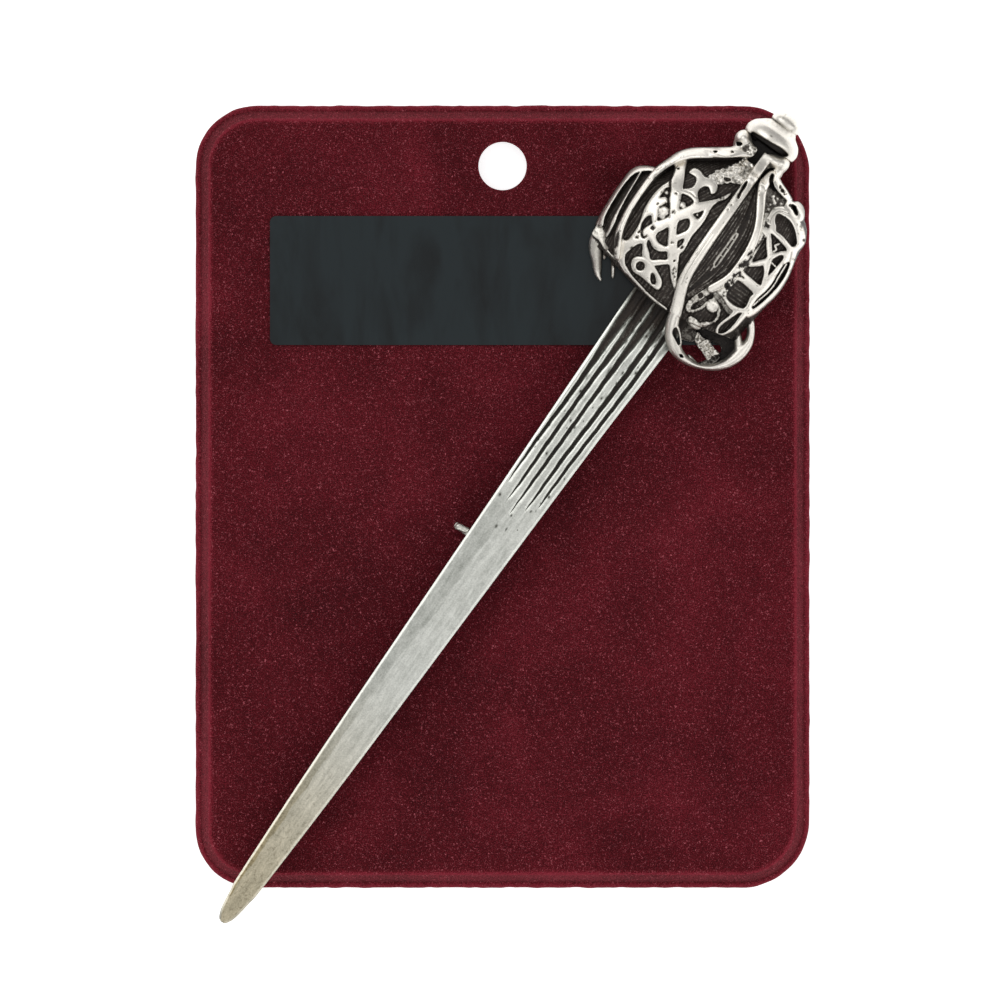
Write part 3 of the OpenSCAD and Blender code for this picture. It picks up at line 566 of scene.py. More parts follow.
# rough fields; each has its points x, y, its rise and its polish
fields = [
    {"rise": 0.42, "polish": 1.35, "points": [
        [-1.35, 10.75], [-0.2, 10.6], [0, 9.5], [-0.05, 8.1], [-1.1, 7.55], [-1.9, 6.8], [-2.2, 6.6],
        [-3.5, 6.65], [-3.2, 7.35], [-3.2, 7.7], [-2.75, 8.25], [-2.4, 8.8], [-1.8, 9.7]]},
    {"rise": 0.2, "polish": 0.26, "points": [
        [3.2, 9.8], [4.4, 9.75], [5.1, 9.5], [5.7, 9.5], [5.5, 9], [5.3, 8.6], [4.7, 8.3], [4.55, 7.7],
        [4.5, 7.3], [4.1, 7], [4, 6.2], [3.5, 7.2], [3, 8], [2.5, 9], [2.7, 9.5]]},
    {"rise": 0.3, "polish": 0.75, "points": [
        [3.9, 7], [4.4, 7.1], [4.6, 6.3], [4.9, 6], [4.4, 5.6], [4.1, 6.1]]},
    {"rise": 0.42, "polish": 0.4, "points": [
        [4.35, 6], [5.1, 5.9], [5.25, 5.5], [5.1, 4.9], [4.95, 4.5], [4.6, 5.2]]},
    {"rise": 0.3, "polish": 0.9, "points": [
        [3.65, -7], [4.2, -6.85], [4.95, -6.95], [5.9, -6.3], [5.6, -7.05], [5.05, -7.5], [4.85, -7.8],
        [4.05, -7.9], [3.75, -7.5]]},
    {"rise": 0.25, "polish": 0.4, "points": [
        [4.5, -3], [5.5, -3.1], [5.8, -3.5], [6.9, -3.8], [7.3, -3.75], [7.35, -4.3], [6.3, -4.2],
        [5.6, -3.9], [4.5, -3.8]]},
    {"rise": 0.3, "polish": 1.5, "points": [
        [0.3, 13.3], [1.4, 13.05], [2.5, 13.3], [3.1, 12.5], [3, 11.3], [2.35, 10.7], [1.95, 11.6],
        [1.75, 11.55], [1.2, 10.9], [0.8, 10.9]]},
    {"rise": 0.3, "polish": 1.3, "points": [
        [-3.5, 12.8], [-2.2, 13.1], [-1.6, 12.5], [-0.9, 12.3], [-0.75, 11.6], [-1, 10.8], [-2.2, 10.9],
        [-2.9, 10.8], [-3.5, 11.6]]},
    {"rise": 0.12, "polish": 0.3, "points": [
        [3.6, -4.4], [4.3, -4.5], [4.1, -5.3], [3.5, -5.3]]},
]
# polished metal that is dull and pitted in patches; each has its points and how dull it is
dullPatches = [
    {"dull": 0.95, "points": [
        [4.9, 2.4], [5.6, 2.2], [5.7, 1.5], [6.1, 1.4], [5.9, 0.9], [5.5, 0.7], [5.6, 0], [6.2, -0.2],
        [5.5, -0.5], [5.2, -0.9], [5.6, -1.3], [5.6, -3.1], [4.5, -3.1], [4.6, -2], [4.9, -0.9],
        [4.7, 0.5], [5, 1.5]]},
    {"dull": 0.9, "points": [
        [4.5, 6.7], [5.2, 6.4], [5.5, 5.2], [5.5, 3.9], [5.3, 2.4], [4.95, 2.4], [5.05, 3.8], [4.8, 5.2],
        [4.4, 6.2]]},
    {"dull": 0.6, "points": [
        [7.8, 8.4], [8.3, 8.35], [8.7, 8], [8.75, 7.6], [8.4, 7.4], [8.1, 7.7], [7.8, 8]]},
    {"dull": 0.8, "points": [
        [-1.1, -2.4], [-0.65, -3.3], [-0.1, -4.2], [0.1, -4.95], [-0.35, -4.6], [-0.9, -3.95], [-1.3, -3]]},
    {"dull": 0.9, "points": [
        [-8.1, -3.8], [-7.7, -4.3], [-7.2, -5.3], [-6.8, -6.15], [-7.25, -6.05], [-7.7, -5.3],
        [-8.15, -4.4]]},
    {"dull": 0.7, "points": [[-2.2, 4.9], [-0.8, 6.2], [-0.6, 5.4], [-1.3, 4.4]]},
    {"dull": 0.5, "points": [
        [-1.35, 10.75], [-0.2, 10.6], [0, 9.5], [-0.05, 8.1], [-1.1, 7.55], [-2.2, 6.6], [-3.5, 6.65],
        [-3.2, 7.7], [-2.75, 8.25], [-1.8, 9.7]]},
    {"dull": 0.75, "points": [[-2.4, 12.3], [-0.9, 12.3], [-0.8, 11.4], [-2.4, 11.3]]},
]
# pits and slots sunk in the bars; columns: x, y, radius across, radius along, turn
pits = [
    [0.36, 5.6, 0.07, 0.2, 0], [0.36, 5.1, 0.07, 0.16, 0],
    [4, 10.15, 0.55, 0.18, -20], [5.95, 9.3, 0.45, 0.24, 5], [9.05, 7.05, 0.19, 0.25, 0],
    [-2.85, 10.45, 0.15, 0.14, 0], [-4.5, 9.35, 0.28, 0.08, 35], [-7, 5.65, 0.1, 0.1, 0],
    [-6.7, 5.5, 0.09, 0.09, 0],
    [-5.45, -0.7, 0.13, 0.1, 0], [-5.25, -1.5, 0.26, 0.2, 20], [-6, -2.6, 0.12, 0.07, -30],
    [-5.6, -2.85, 0.2, 0.06, -10], [-6.1, -3.3, 0.17, 0.12, 0], [-2.6, -1.55, 0.15, 0.15, 0],
    [-1.4, -1.35, 0.1, 0.16, 0], [-1.25, -3.05, 0.08, 0.1, 0], [-0.8, -3.7, 0.1, 0.15, 20],
    [-5.35, 3.1, 0.08, 0.06, 0], [-6.3, 1, 0.1, 0.12, 0], [-4.45, 1.25, 0.1, 0.18, 0],
    [5.4, 2.2, 0.15, 0.15, 0], [6, -0.15, 0.2, 0.07, 0], [5.3, -1.3, 0.14, 0.2, 20], [5, -2, 0.26, 0.14, 0],
    [3.3, -4.5, 0.25, 0.3, -20],
]

# free bars that leave the basket; columns: x, y, height of the axis, width, thickness
quillonLoop = [
    [0.93, -4.4, 7.3, 1.2, 1.6], [1.3, -5.5, 7.05, 1.22, 1.65], [1.78, -6.6, 6.6, 1.26, 1.7],
    [2.17, -7.7, 6.2, 1.34, 1.9], [2.57, -8.8, 5.6, 1.4, 1.9], [3.3, -9.9, 4.75, 1.5, 1.9],
    [4.25, -10.7, 4, 1.4, 1.9], [5.3, -11.1, 3.3, 1.05, 1.8], [6.4, -11.15, 2.9, 0.78, 1.7],
    [7.5, -10.95, 2.6, 0.52, 1.6], [8.6, -10.4, 2.4, 0.62, 1.6], [9.4, -9.65, 2.2, 0.85, 1.6],
    [10, -8.75, 2, 1.1, 1.6], [10.35, -7.7, 1.9, 1.35, 1.6], [10.48, -6.7, 1.8, 1.42, 1.6],
    [10.6, -5.7, 1.7, 1, 1.6], [10.2, -4.6, 1.7, 0.82, 1.6], [9.5, -3.75, 1.9, 0.85, 1.6],
    [9, -3.3, 2, 0.75, 1.6],
]
loopInner = [
    [10.25, -7.05, 1.75, 0.8, 1.4], [9.8, -6.4, 1.8, 0.88, 1.4], [9.25, -5.75, 1.9, 0.75, 1.4],
    [8.8, -5.15, 2, 0.5, 1.4],
]
claw = [
    [-9.7, -5, 2.2, 1.2, 2], [-9.4, -6, 2.3, 1.75, 2], [-8.9, -7, 2, 1.55, 1.8],
    [-8.25, -7.8, 1.7, 1.1, 1.5], [-7.75, -8.42, 1.4, 0.95, 1.2], [-7.25, -8.98, 1.2, 0.66, 0.9],
    [-6.6, -9.4, 1.1, 0.25, 0.6],
]
# the second tooth, a curl between the two, and two slivers of metal in the loop
clawTops = [
    [[-7.1, -6.1, 1.9, 0.75, 1.4], [-6.75, -6.75, 1.9, 0.52, 1.2], [-6.25, -7.5, 1.7, 0.44, 1],
     [-5.85, -8.15, 1.4, 0.34, 0.8], [-5.68, -8.42, 1.3, 0.15, 0.4]],
    [[-8.2, -6.1, 3.4, 0.55, 0.8], [-7.95, -6.5, 3, 0.5, 0.7], [-7.65, -7.25, 2.3, 0.2, 0.4]],
    [[3.35, -8.75, 5.5, 0.2, 0.8], [4.05, -9.4, 4.9, 0.22, 0.8], [4.65, -10.1, 4.3, 0.2, 0.8]],
    [[5.95, -10.55, 2.5, 0.12, 0.5], [6.6, -10.64, 2.5, 0.2, 0.5], [7.4, -10.78, 2.4, 0.12, 0.5]],
]
# the slot through the free loop, and the smaller hole after it
loopSlots = [
    [[3.1, -8.9], [3.3, -8.95], [3.95, -9.45], [4.5, -10.1], [4.4, -10.3], [3.85, -10.05], [3.2, -9.7],
     [3, -9.25]],
    [[5.1, -11.1], [5.4, -10.93], [5.72, -11.1], [5.4, -11.27]],
]
# low webs of metal; the top of a web is at the height top + tiltX * x, and rough by so much
webs = [
    # painted shade: a dark web low inside the loop, where shade falls under its bars
    {"top": 1.1, "rough": 0.15, "polish": 0.05, "speckle": 0.3, "points": [
        [7.4, -6.6], [8.6, -5.9], [9.2, -5.8], [9.8, -6.8], [9.9, -7.9], [9.7, -9], [8.8, -10.1],
        [7.9, -10.6], [7.3, -10.7], [7.9, -9.9], [8.4, -9], [8.7, -8.4], [8.3, -7.7], [7.2, -7.9],
        [6, -8.1], [5, -7.8], [6.2, -7]]},
    {"top": 1.2, "rough": 0.4, "polish": 0.4, "speckle": 0.9, "points": [
        [7.9, -9.9], [8.3, -9.25], [8.7, -8.6], [9, -8.8], [8.9, -9.6], [8.6, -10.2], [8, -10.55],
        [7.6, -10.6]]},
    {"top": 1.5, "rough": 0.1, "polish": 0.3, "speckle": 0.7, "points": [
        [2.9, -8], [4.2, -7.7], [5.5, -8.1], [5.6, -9], [4.9, -9.4], [3.9, -9.6], [3, -8.8]]},
    {"top": 1.9, "rough": 0.6, "polish": 0.85, "speckle": 0.75, "points": [
        [5.4, -7.8], [6.05, -8.05], [6.6, -8], [6.95, -7.9], [7.4, -8.1], [7.9, -8.3], [8.6, -8.4],
        [8.75, -8.7], [8.35, -8.95], [8.25, -9.35], [8.15, -9.8], [7.7, -9.75], [7.15, -9.45],
        [6.6, -9.3], [6.05, -9.1], [5.6, -8.8], [5.45, -8.35]]},
    # the plate that the claw grows from
    {"top": 7.5, "tiltX": 0.4, "rough": 0.12, "polish": 0.72, "speckle": 0.3, "points": [
        [-10.55, -4.1], [-10.2, -4], [-9.95, -4.4], [-9.6, -4.7], [-9.15, -4.9], [-8.85, -5.05],
        [-8.75, -5.6], [-8.4, -5.85], [-8, -6], [-7.85, -6.3], [-8.25, -6.4], [-8.7, -6.2], [-9.35, -5.95],
        [-10.3, -5.85], [-10.45, -5.05]]},
    # the floor of the cavity under the pommel, dark with patina and painted shade
    {"top": 1.5, "rough": 0.1, "polish": 0.05, "speckle": 0.3, "points": [
        [-2.6, 13.4], [2.5, 13.4], [2.5, 11.6], [-2.6, 11.6]]},
]

# lumps round the collar; columns: x, y, z, radius across, along, up
collarLumps = [
    [-2.72, 12.35, 1.6, 0.98, 1.05, 2.3], [-1.7, 12.05, 1.5, 1.05, 0.85, 2.4], [-2.5, 11.5, 1.5, 0.9, 0.7, 2],
    [2.2, 12.45, 1.6, 0.92, 1.1, 2.3], [1.2, 12.2, 1.8, 1.3, 0.95, 2.4], [2.2, 11.4, 1.5, 0.8, 0.9, 2],
]
# a blob of rough metal over the foot of the basket; columns as for the collar
footLump = [4.5, -7.45, 4.7, 0.85, 0.5, 0.6]
# what is darkened round the collar, with patina and painted shade: the cavity under the pommel, and two pits
collarHollows = [
    [[-2.45, 13.25], [-2.3, 13.62], [-1.4, 13.68], [0.15, 13.8], [1.3, 13.92], [2.25, 13.78], [2.2, 13.4],
     [1.4, 13.02], [0.75, 12.75], [0.3, 12.45], [0.02, 12.6], [-0.05, 11.9],
     [-0.1, 10.8], [-1.1, 10.7], [-0.75, 11.5], [-0.85, 12.3], [-1.5, 12.45], [-2, 12.85]],
    [[-3.2, 11.65], [-2.65, 11.9], [-2.5, 11.65], [-2.8, 11.35], [-3.05, 11.4]],
    [[1.25, 9.9], [1.2, 10.5], [1.3, 11.1], [1.55, 11.45], [1.9, 11.62], [1.85, 11.35], [1.6, 10.95],
     [1.45, 10.5], [1.45, 9.9]],
]

mapX = np.arange(-12, 12.5, hilt["mapStep"])
mapY = np.arange(-12.5, 14, hilt["mapStep"])
atX, atY = np.meshgrid(mapX, mapY, indexing="ij")
farOut = -9.0  # what a place gets that lies outside every shape


def window(axisX, axisY, low, high, reach):
    # the part of a grid within reach of the box from low to high
    i0, i1 = np.searchsorted(axisX, [low[0] - reach, high[0] + reach])
    j0, j1 = np.searchsorted(axisY, [low[1] - reach, high[1] + reach])
    return np.s_[i0:i1, j0:j1]


def nearLine(a, b, x, y):
    # how far from a to b the nearest point of the line is, from 0 to 1, and how far off the line x, y is
    d = b[:2] - a[:2]
    t = np.clip(((x - a[0]) * d[0] + (y - a[1]) * d[1]) / max(d @ d, 1e-9), 0, 1)
    return t, np.hypot(x - a[0] - t * d[0], y - a[1] - t * d[1])


def insideStroke(rows, steps=8):
    # how far inside the edge of a painted stroke each point of the map lies, in mm
    run = smoothRun(rows, steps)
    inside = np.full(atX.shape, farOut)
    for a, b in zip(run[:-1], run[1:]):
        near = window(mapX, mapY, np.minimum(a, b), np.maximum(a, b), max(a[2], b[2]) / 2 + 0.6)
        t, off = nearLine(a, b, atX[near], atY[near])
        inside[near] = np.maximum(inside[near], (a[2] + t * (b[2] - a[2])) / 2 - off)
    return inside


def insideLoop(points, x, y, steps=3):
    # signed distance to an outline rounded off between its points, positive inside
    loop = smoothLoop(points, steps)
    best = np.full(x.shape, 1e9)
    odd = np.zeros(x.shape, bool)
    for a, b in zip(loop, np.roll(loop, -1, axis=0)):
        best = np.minimum(best, nearLine(a, b, x, y)[1])
        crosses = (a[1] > y) != (b[1] > y)
        odd ^= crosses & (x < (b[0] - a[0]) * (y - a[1]) / ((b[1] - a[1]) or 1e-9) + a[0])
    return np.where(odd, best, -best)


def insideAny(loops, x, y):
    inside = np.full(x.shape, farOut)
    for points in loops:
        inside = np.maximum(inside, insideLoop(points, x, y))
    return inside


def insideShape(points, steps=3):
    # the signed distance over the whole map, worked out only near the shape
    loop = smoothLoop(points, steps)
    inside = np.full(atX.shape, farOut)
    near = window(mapX, mapY, loop.min(axis=0), loop.max(axis=0), 0.5)
    inside[near] = insideLoop(points, atX[near], atY[near], steps)
    return inside


def insidePlate(plate):
    inside = insideShape(plate["outline"])
    for opening in plate["openings"]:
        inside = np.minimum(inside, -insideShape(opening))
    return inside


def insideOval(row, x, y):
    # how far inside an oval hole or lump a point lies, near its edge
    a = math.radians(row[4])
    across = (x - row[0]) * math.cos(a) + (y - row[1]) * math.sin(a)
    along = -(x - row[0]) * math.sin(a) + (y - row[1]) * math.cos(a)
    return (1 - np.hypot(across / row[2], along / row[3])) * min(row[2], row[3])


def mapNoise(cell, seed):
    # smooth noise from 0 to 1 over the map, for lumps of about cell mm
    step = max(2, int(cell / hilt["mapStep"]))
    rows, columns = atX.shape
    small = np.random.default_rng(seed).random((rows // step + 3, columns // step + 3))
    u, v = np.arange(rows)[:, None] / step, np.arange(columns)[None, :] / step
    return between(small.T, v, u, soft=True)


groundRun = smoothRun(groundRows, 8)


def groundAt(rowY, column):
    return np.interp(rowY, groundRun[:, 0], groundRun[:, column])


def rowOf(x, y):
    # the ground's sections are bowed towards the blade's end, so this is the row that a point lies on
    return y - groundAt(y, 4) * x * x


def paintHilt():
    # two maps seen from above: how high the metal stands over the ground, and how polished it is
    rough = mapNoise(0.2, 1) * 0.6 + mapNoise(0.1, 2) * 0.4
    slow = mapNoise(0.9, 3)
    rowY = rowOf(atX, atY)
    left, right = groundAt(rowY, 1), groundAt(rowY, 2)
    meridian = np.arccos(-np.clip((2 * atX - left - right) / (right - left), -1, 1)) / math.pi
    across = insideShape(rightPlate["openings"][5], 1) > -0.1
    ribs = np.sin(2 * math.pi * np.where(across, atY / hilt["ribPitch"], meridian * hilt["ribCount"]))
    chasedField = insideShape(fieldEdge + [[fieldStart, -5], [fieldStart, 8.6]], 1)
    ribs = ribs * (0.35 + 0.9 * slow) * (1 - 0.9 * smoothStep(0, 0.3, chasedField))
    relief = hilt["ribRise"] * ribs
    polish = hilt["recessPolish"] + 0.1 * ribs + 0.14 * (rough - 0.5)
    polish = polish - 0.1 * smoothStep(0, 0.2, chasedField)

    def raiseMetal(inside, rise, shine, crown=1.0):
        nonlocal relief, polish
        wall = hilt["wallRun"]
        height = rise * smoothStep(-wall, 0.02, inside)
        height = height + crown * hilt["crown"] * (1 - (1 - np.clip(inside / hilt["crownRun"], 0, 1)) ** 2)
        relief = np.where(inside > -wall, np.maximum(relief, height), relief)
        top = shine * smoothStep(-0.1, 0.08, inside)
        polish = np.where(inside > -wall, np.maximum(polish, top), polish)

    for share in fieldShares:
        rows = [[fieldStart + (px - fieldStart) * share, py, 0.12] for px, py in fieldEdge]
        raiseMetal(insideStroke(rows, 3), 0.08, 0.3 + 0.55 * smoothStep(0.3, 0.9, rough) * slow, 0)
    for rows in chasedLines:
        raiseMetal(insideStroke(rows), 0.06, 0.6 * (0.5 + slow), 0)
    for rows in chasedFrame:
        raiseMetal(insideStroke(rows, 3), 0.08, 0.75 * (0.4 + rough), 0)
    for field in fields:
        inside = insideShape(field["points"]) + 0.22 * (rough - 0.5)
        raiseMetal(inside, field["rise"] + 0.14 * rough, field["polish"] * (0.35 + 1.2 * rough), 0)
    for row in lumps:
        inside = insideOval([row[0], row[1], row[2], row[2], 0], atX, atY) + 0.12 * (rough - 0.5)
        raiseMetal(inside, row[3], row[4] * (0.5 + 0.9 * rough))
    for rows in straps:
        raiseMetal(insideStroke(rows), hilt["plateRise"], 1.0, 0.6)
    for rows in roughStraps:
        inside = insideStroke(rows) + 0.16 * (rough - 0.5)
        raiseMetal(inside, hilt["plateRise"] * 0.8 + 0.15 * rough, 0.2 + 0.85 * rough, 0)
    for plate in (leftPlate, hornedStem, knot, rightPlate, headRing):
        raiseMetal(insidePlate(plate), hilt["plateRise"], 1.0, 0.8)
    for rows in mainBars:
        raiseMetal(insideStroke(rows), hilt["barRise"], 1.0, 1.6)
    for rows in gaps:
        cut = smoothStep(-0.1, 0.06, insideStroke(rows))
        relief = relief * (1 - 0.7 * cut)
        polish = polish * (1 - 0.85 * cut)
    patchy = 0.5 * rough + 0.5 * mapNoise(0.5, 8)
    for patch in dullPatches:
        inside = smoothStep(-0.12, 0.15, insideShape(patch["points"])) * smoothStep(0.6, 0.38, patchy)
        relief = relief - 0.12 * inside
        polish = polish * (1 - patch["dull"] * inside)
    for rows in seams:
        groove = insideStroke(rows)
        relief -= 0.1 * smoothStep(-0.12, 0.04, groove)
        polish -= 0.42 * smoothStep(-0.1, 0.04, groove)
    for row in pits:
        inside = insideOval(row, atX, atY) + 0.26 * (rough - 0.6)
        sunk = smoothStep(-0.07, 0.07, inside)
        relief = relief - 0.25 * sunk * (relief > 0.2)
        polish = polish * (1 - 0.82 * sunk)
    # casting flaws: a few specks on every strap, and metal that the tumbling hardly reached
    speck = mapNoise(0.3, 5) * mapNoise(0.16, 6)
    polish = polish * (1 - 0.7 * smoothStep(0.6, 0.72, speck))
    polish = polish * (1 - 0.16 * slow * rough)
    return relief, np.clip(polish, 0.02, 1)


def webTop(web, x):
    return web["top"] + web.get("tiltX", 0) * x


def readMap(values, x, y):
    # value of a map at any place
    u = np.clip((x - mapX[0]) / hilt["mapStep"], 0, len(mapX) - 1.001)
    v = np.clip((y - mapY[0]) / hilt["mapStep"], 0, len(mapY) - 1.001)
    return between(values, u, v)


def merge(a, b, blend):
    # union of two solids given as distances, with a small fillet where they meet
    h = np.clip(0.5 + 0.5 * (b - a) / blend, 0, 1)
    return b * (1 - h) + a * h - blend * h * (1 - h)


def makeHilt():
    step = hilt["voxel"]
    low = np.array(hilt["low"])
    size = np.ceil((np.array(hilt["high"]) - low) / step).astype(int)
    axes = [low[k] + step * np.arange(size[k]) for k in range(3)]
    x, y, z = axes[0][:, None, None], axes[1][None, :, None], axes[2][None, None, :]
    flatX, flatY = np.meshgrid(axes[0], axes[1], indexing="ij")
    relief, polish = paintHilt()
    rowY = rowOf(flatX, flatY)
    left, right, high = (groundAt(rowY, k)[..., None] for k in (1, 2, 3))
    power = hilt["square"]  # a little squarer than an ellipse
    shell = (np.abs((2 * x - left - right) / (right - left)) ** power
             + np.abs(np.maximum(z, -0.2) / high) ** power) ** (1 / power)
    slope = np.sqrt(sum(g * g for g in np.gradient(shell, step)))
    solid = (shell - 1) / np.maximum(slope, 0.04) - readMap(relief, flatX, flatY)[..., None]
    solid = np.maximum(solid, (hilt["footY"] - rowY)[..., None])
    solid = np.maximum(solid, (rowY - hilt["headY"])[..., None]).astype(np.float32)

    def addTube(rows):
        run = smoothRun(rows, 4)
        for a, b in zip(run[:-1], run[1:]):
            reach = max(a[3], b[3]) / 2 + 0.7
            near = window(axes[0], axes[1], np.minimum(a, b), np.maximum(a, b), reach)
            t, side = nearLine(a, b, flatX[near], flatY[near])
            centre, width, thick = (a[k] + t * (b[k] - a[k]) for k in (2, 3, 4))
            q = np.sqrt((2 * side / width)[..., None] ** 2
                        + (2 * (z - centre[..., None]) / thick[..., None]) ** 2)
            tube = (q - 1) * (np.minimum(width, thick) / 2)[..., None]
            solid[near] = merge(tube, solid[near], hilt["blend"])

    def ovalSolid(row):
        px, py, pz, rx, ry, rz = row
        q = np.sqrt(((x - px) / rx) ** 2 + ((y - py) / ry) ** 2 + ((z - pz) / rz) ** 2)
        return (q - 1) * min(rx, ry, rz)

    rough = mapNoise(0.3, 7) * 0.5 + mapNoise(0.12, 8) * 0.5
    unevenness = readMap(rough, flatX, flatY)[..., None]
    for row in collarLumps:
        solid = merge(ovalSolid(row), solid, 0.3)
    solid = merge(ovalSolid(footLump) - 0.15 * (unevenness - 0.5), solid, 0.1)
    collar = np.maximum(np.sqrt(x ** 2 + (z - hilt["collarZ"]) ** 2) - hilt["collarR"],
                        np.abs(y - hilt["collarY"]) - hilt["collarHalf"])
    solid = merge(collar, solid, 0.2)
    hollow = insideAny(collarHollows, flatX, flatY)[..., None]
    solid = np.maximum(solid, np.minimum(hollow, z - hilt["hollowZ"]))
    for web in webs:
        inside = insideLoop(web["points"], flatX, flatY)[..., None]
        top = webTop(web, x) + web["rough"] * (unevenness - 0.5)
        solid = merge(np.maximum(-inside, z - top), solid, 0.1)
    for rows in [quillonLoop, loopInner, claw] + clawTops:
        addTube(rows)
    # the slots go right through the loop, whose top falls away from the hilt
    slots = insideAny(loopSlots, flatX, flatY)[..., None]
    slotTop = np.interp(flatX, hilt["slotX"], hilt["slotTop"])[..., None]
    solid = np.maximum(solid, np.minimum(slots, z - slotTop + hilt["slotDeep"]))
    solid = np.maximum(solid, 0.02 - z)
    band = 3 * step
    grid = openvdb.FloatGrid(band)
    grid.copyFromArray(np.clip(solid, -band, band).astype(np.float32))
    points, triangles, quads = grid.convertToPolygons(isovalue=0.0, adaptivity=0.0)
    points = low + step * np.asarray(points, float)
    print("   hilt meshed:", len(points), "points", len(quads), "quads", len(triangles), "triangles")
    faces = [np.asarray(f, int) for f in (quads, triangles) if len(f)]
    made = makeObject("basketHilt", swordToWorld(points), faces, castPewter, "basket_hilt", {})
    decimateTo(made, hilt["triangles"])
    shine = hiltShine(made.data, polish, rough)
    setPointValues(made.data, {"polish": shine, "warm": np.zeros(len(shine))})


def swordLocal(mesh):
    # the points of a mesh in the sword's own frame, in mm, and the height of their normals
    points = np.empty(len(mesh.vertices) * 3, np.float32)
    normals = np.empty_like(points)
    mesh.vertices.foreach_get("co", points)
    mesh.vertices.foreach_get("normal", normals)
    points = points.reshape(-1, 3) / mm
    a = math.radians(sword["lean"])
    dx, dy = points[:, 0] - sword["hiltX"], points[:, 1] - sword["hiltY"]
    return (dx * math.cos(a) - dy * math.sin(a), dx * math.sin(a) + dy * math.cos(a),
            points[:, 2] - backZ, normals.reshape(-1, 3)[:, 2])


def hiltShine(mesh, polish, rough):
    # how polished each point of the hilt is
    x, y, z, up = swordLocal(mesh)
    shine = readMap(polish, x, y)
    ground = rowOf(x, y)
    left, right = groundAt(ground, 1), groundAt(ground, 2)
    inDome = (ground > hilt["footY"] + 0.05) & (ground < 13) & (x > left) & (x < right)
    # off the basket the metal is brightest where it faces up: polished there, with painted shade on the sides
    # that face away; the collar is bright all over
    grain = readMap(rough, x, y)
    free = 0.15 + 0.85 * smoothStep(-0.1, 0.5, up)
    free = np.where(y > 10.9, 1, free) * (1 - 0.2 * grain)
    cuts = np.full(atX.shape, farOut)
    for rows in seams:
        cuts = np.maximum(cuts, insideStroke(rows))
    free = free * (1 - 0.3 * smoothStep(-0.1, 0.04, readMap(cuts, x, y)))
    # the cut edge of the basket's foot was never polished
    cutEdge = (ground <= hilt["footY"] + 0.05) & (ground > hilt["footY"] - 0.4) & (z > 2.2)
    free = free * np.where(cutEdge & (x > left + 1) & (x < right - 1), 0.2, 1)
    shine = np.where(inDome, shine, free)
    # the long bar is as bright over the basket's foot as on either side of it
    onBar = readMap(insideStroke([[row[0], row[1], row[3]] for row in quillonLoop[:6]]), x, y)
    onBar = smoothStep(-0.05, 0.15, onBar) * (z > 4) * (y < -6.5)
    shine = np.maximum(shine, 0.95 * onBar)
    onFoot = insideOval([*footLump[:2], *footLump[3:5], 0], x, y) > -0.05
    shine = np.where(onFoot & (z > 4), 0.3 + 0.9 * grain, shine)
    for web in webs:
        on = (insideLoop(web["points"], x, y) > 0.02) & (np.abs(z - webTop(web, x)) < 0.35)
        shine = np.where(on, web["polish"] * (1 - web["speckle"] + 1.8 * web["speckle"] * grain), shine)
    # the collar's hollows and the loop's slots are darkened inside: patina, and painted shade
    for points in collarHollows + loopSlots:
        shine = shine * (1 - 0.95 * smoothStep(-0.05, 0.07, insideLoop(points, x, y)))
    return np.clip(np.where(z < 0.1, 0.5, shine), 0.02, 1)


makeHilt()
print("basket hilt made")


# the blade: tapering, bevelled, with five grooves that run out

blade = {
    "start": 6.95, "groovesEnd": 37.4, "plainEnd": 88, "tip": 91.05, "thick": 2.0, "edgeDrop": 0.13,
    "bevel": 0.27, "shift": 0.33, "turn": -0.2, "groovedStep": 0.15, "plainStep": 0.35, "tipStep": 0.12,
    "columns": 141, "grooveDepth": 0.3, "shoulder": 0.055, "tarnishFrom": 56, "specks": 45,
}
# columns: distance from the middle of the hilt, half width
bladeWidths = [
    [6.95, 3.56], [11.5, 3.5], [25.8, 3.08], [47.8, 2.58], [69.8, 2.06], [85.2, 1.5], [87.4, 1.31],
    [89.6, 1], [90.6, 0.66], [91.05, 0.3],
]
# five grooves, broad and shallow under the basket, then narrow; columns: distance, x, width
grooves = [
    [[7, -2.25, 1], [12.1, -2.25, 0.98], [15, -2.2, 0.74], [18, -2.14, 0.5], [22, -2.12, 0.4],
     [27.5, -2.28, 0.33], [31.9, -2.25, 0.17], [33.6, -2.22, 0.05]],
    [[7, -0.92, 0.85], [12.1, -0.91, 0.82], [15, -0.95, 0.6], [18, -1.05, 0.42], [22, -1.1, 0.36],
     [27.5, -1.1, 0.36], [31.9, -1.04, 0.28], [35.2, -1.1, 0.06]],
    [[7, 0.28, 0.85], [12.1, 0.27, 0.82], [15, 0.22, 0.56], [18, 0.17, 0.42], [22, 0.12, 0.36],
     [27.5, 0.08, 0.36], [31.9, 0.03, 0.28], [36.5, 0, 0.05]],
    [[7, 1.66, 0.62], [12.1, 1.74, 0.56], [16.5, 1.7, 0.48], [22, 1.53, 0.42], [27.5, 1.3, 0.38],
     [31.9, 1.28, 0.28], [35.2, 1.22, 0.06]],
    [[7, 2.75, 0.46], [12.1, 2.8, 0.44], [16.5, 2.75, 0.4], [22, 2.55, 0.36], [27.5, 2.3, 0.33],
     [31.9, 2.22, 0.24], [34.1, 2.2, 0.06]],
]


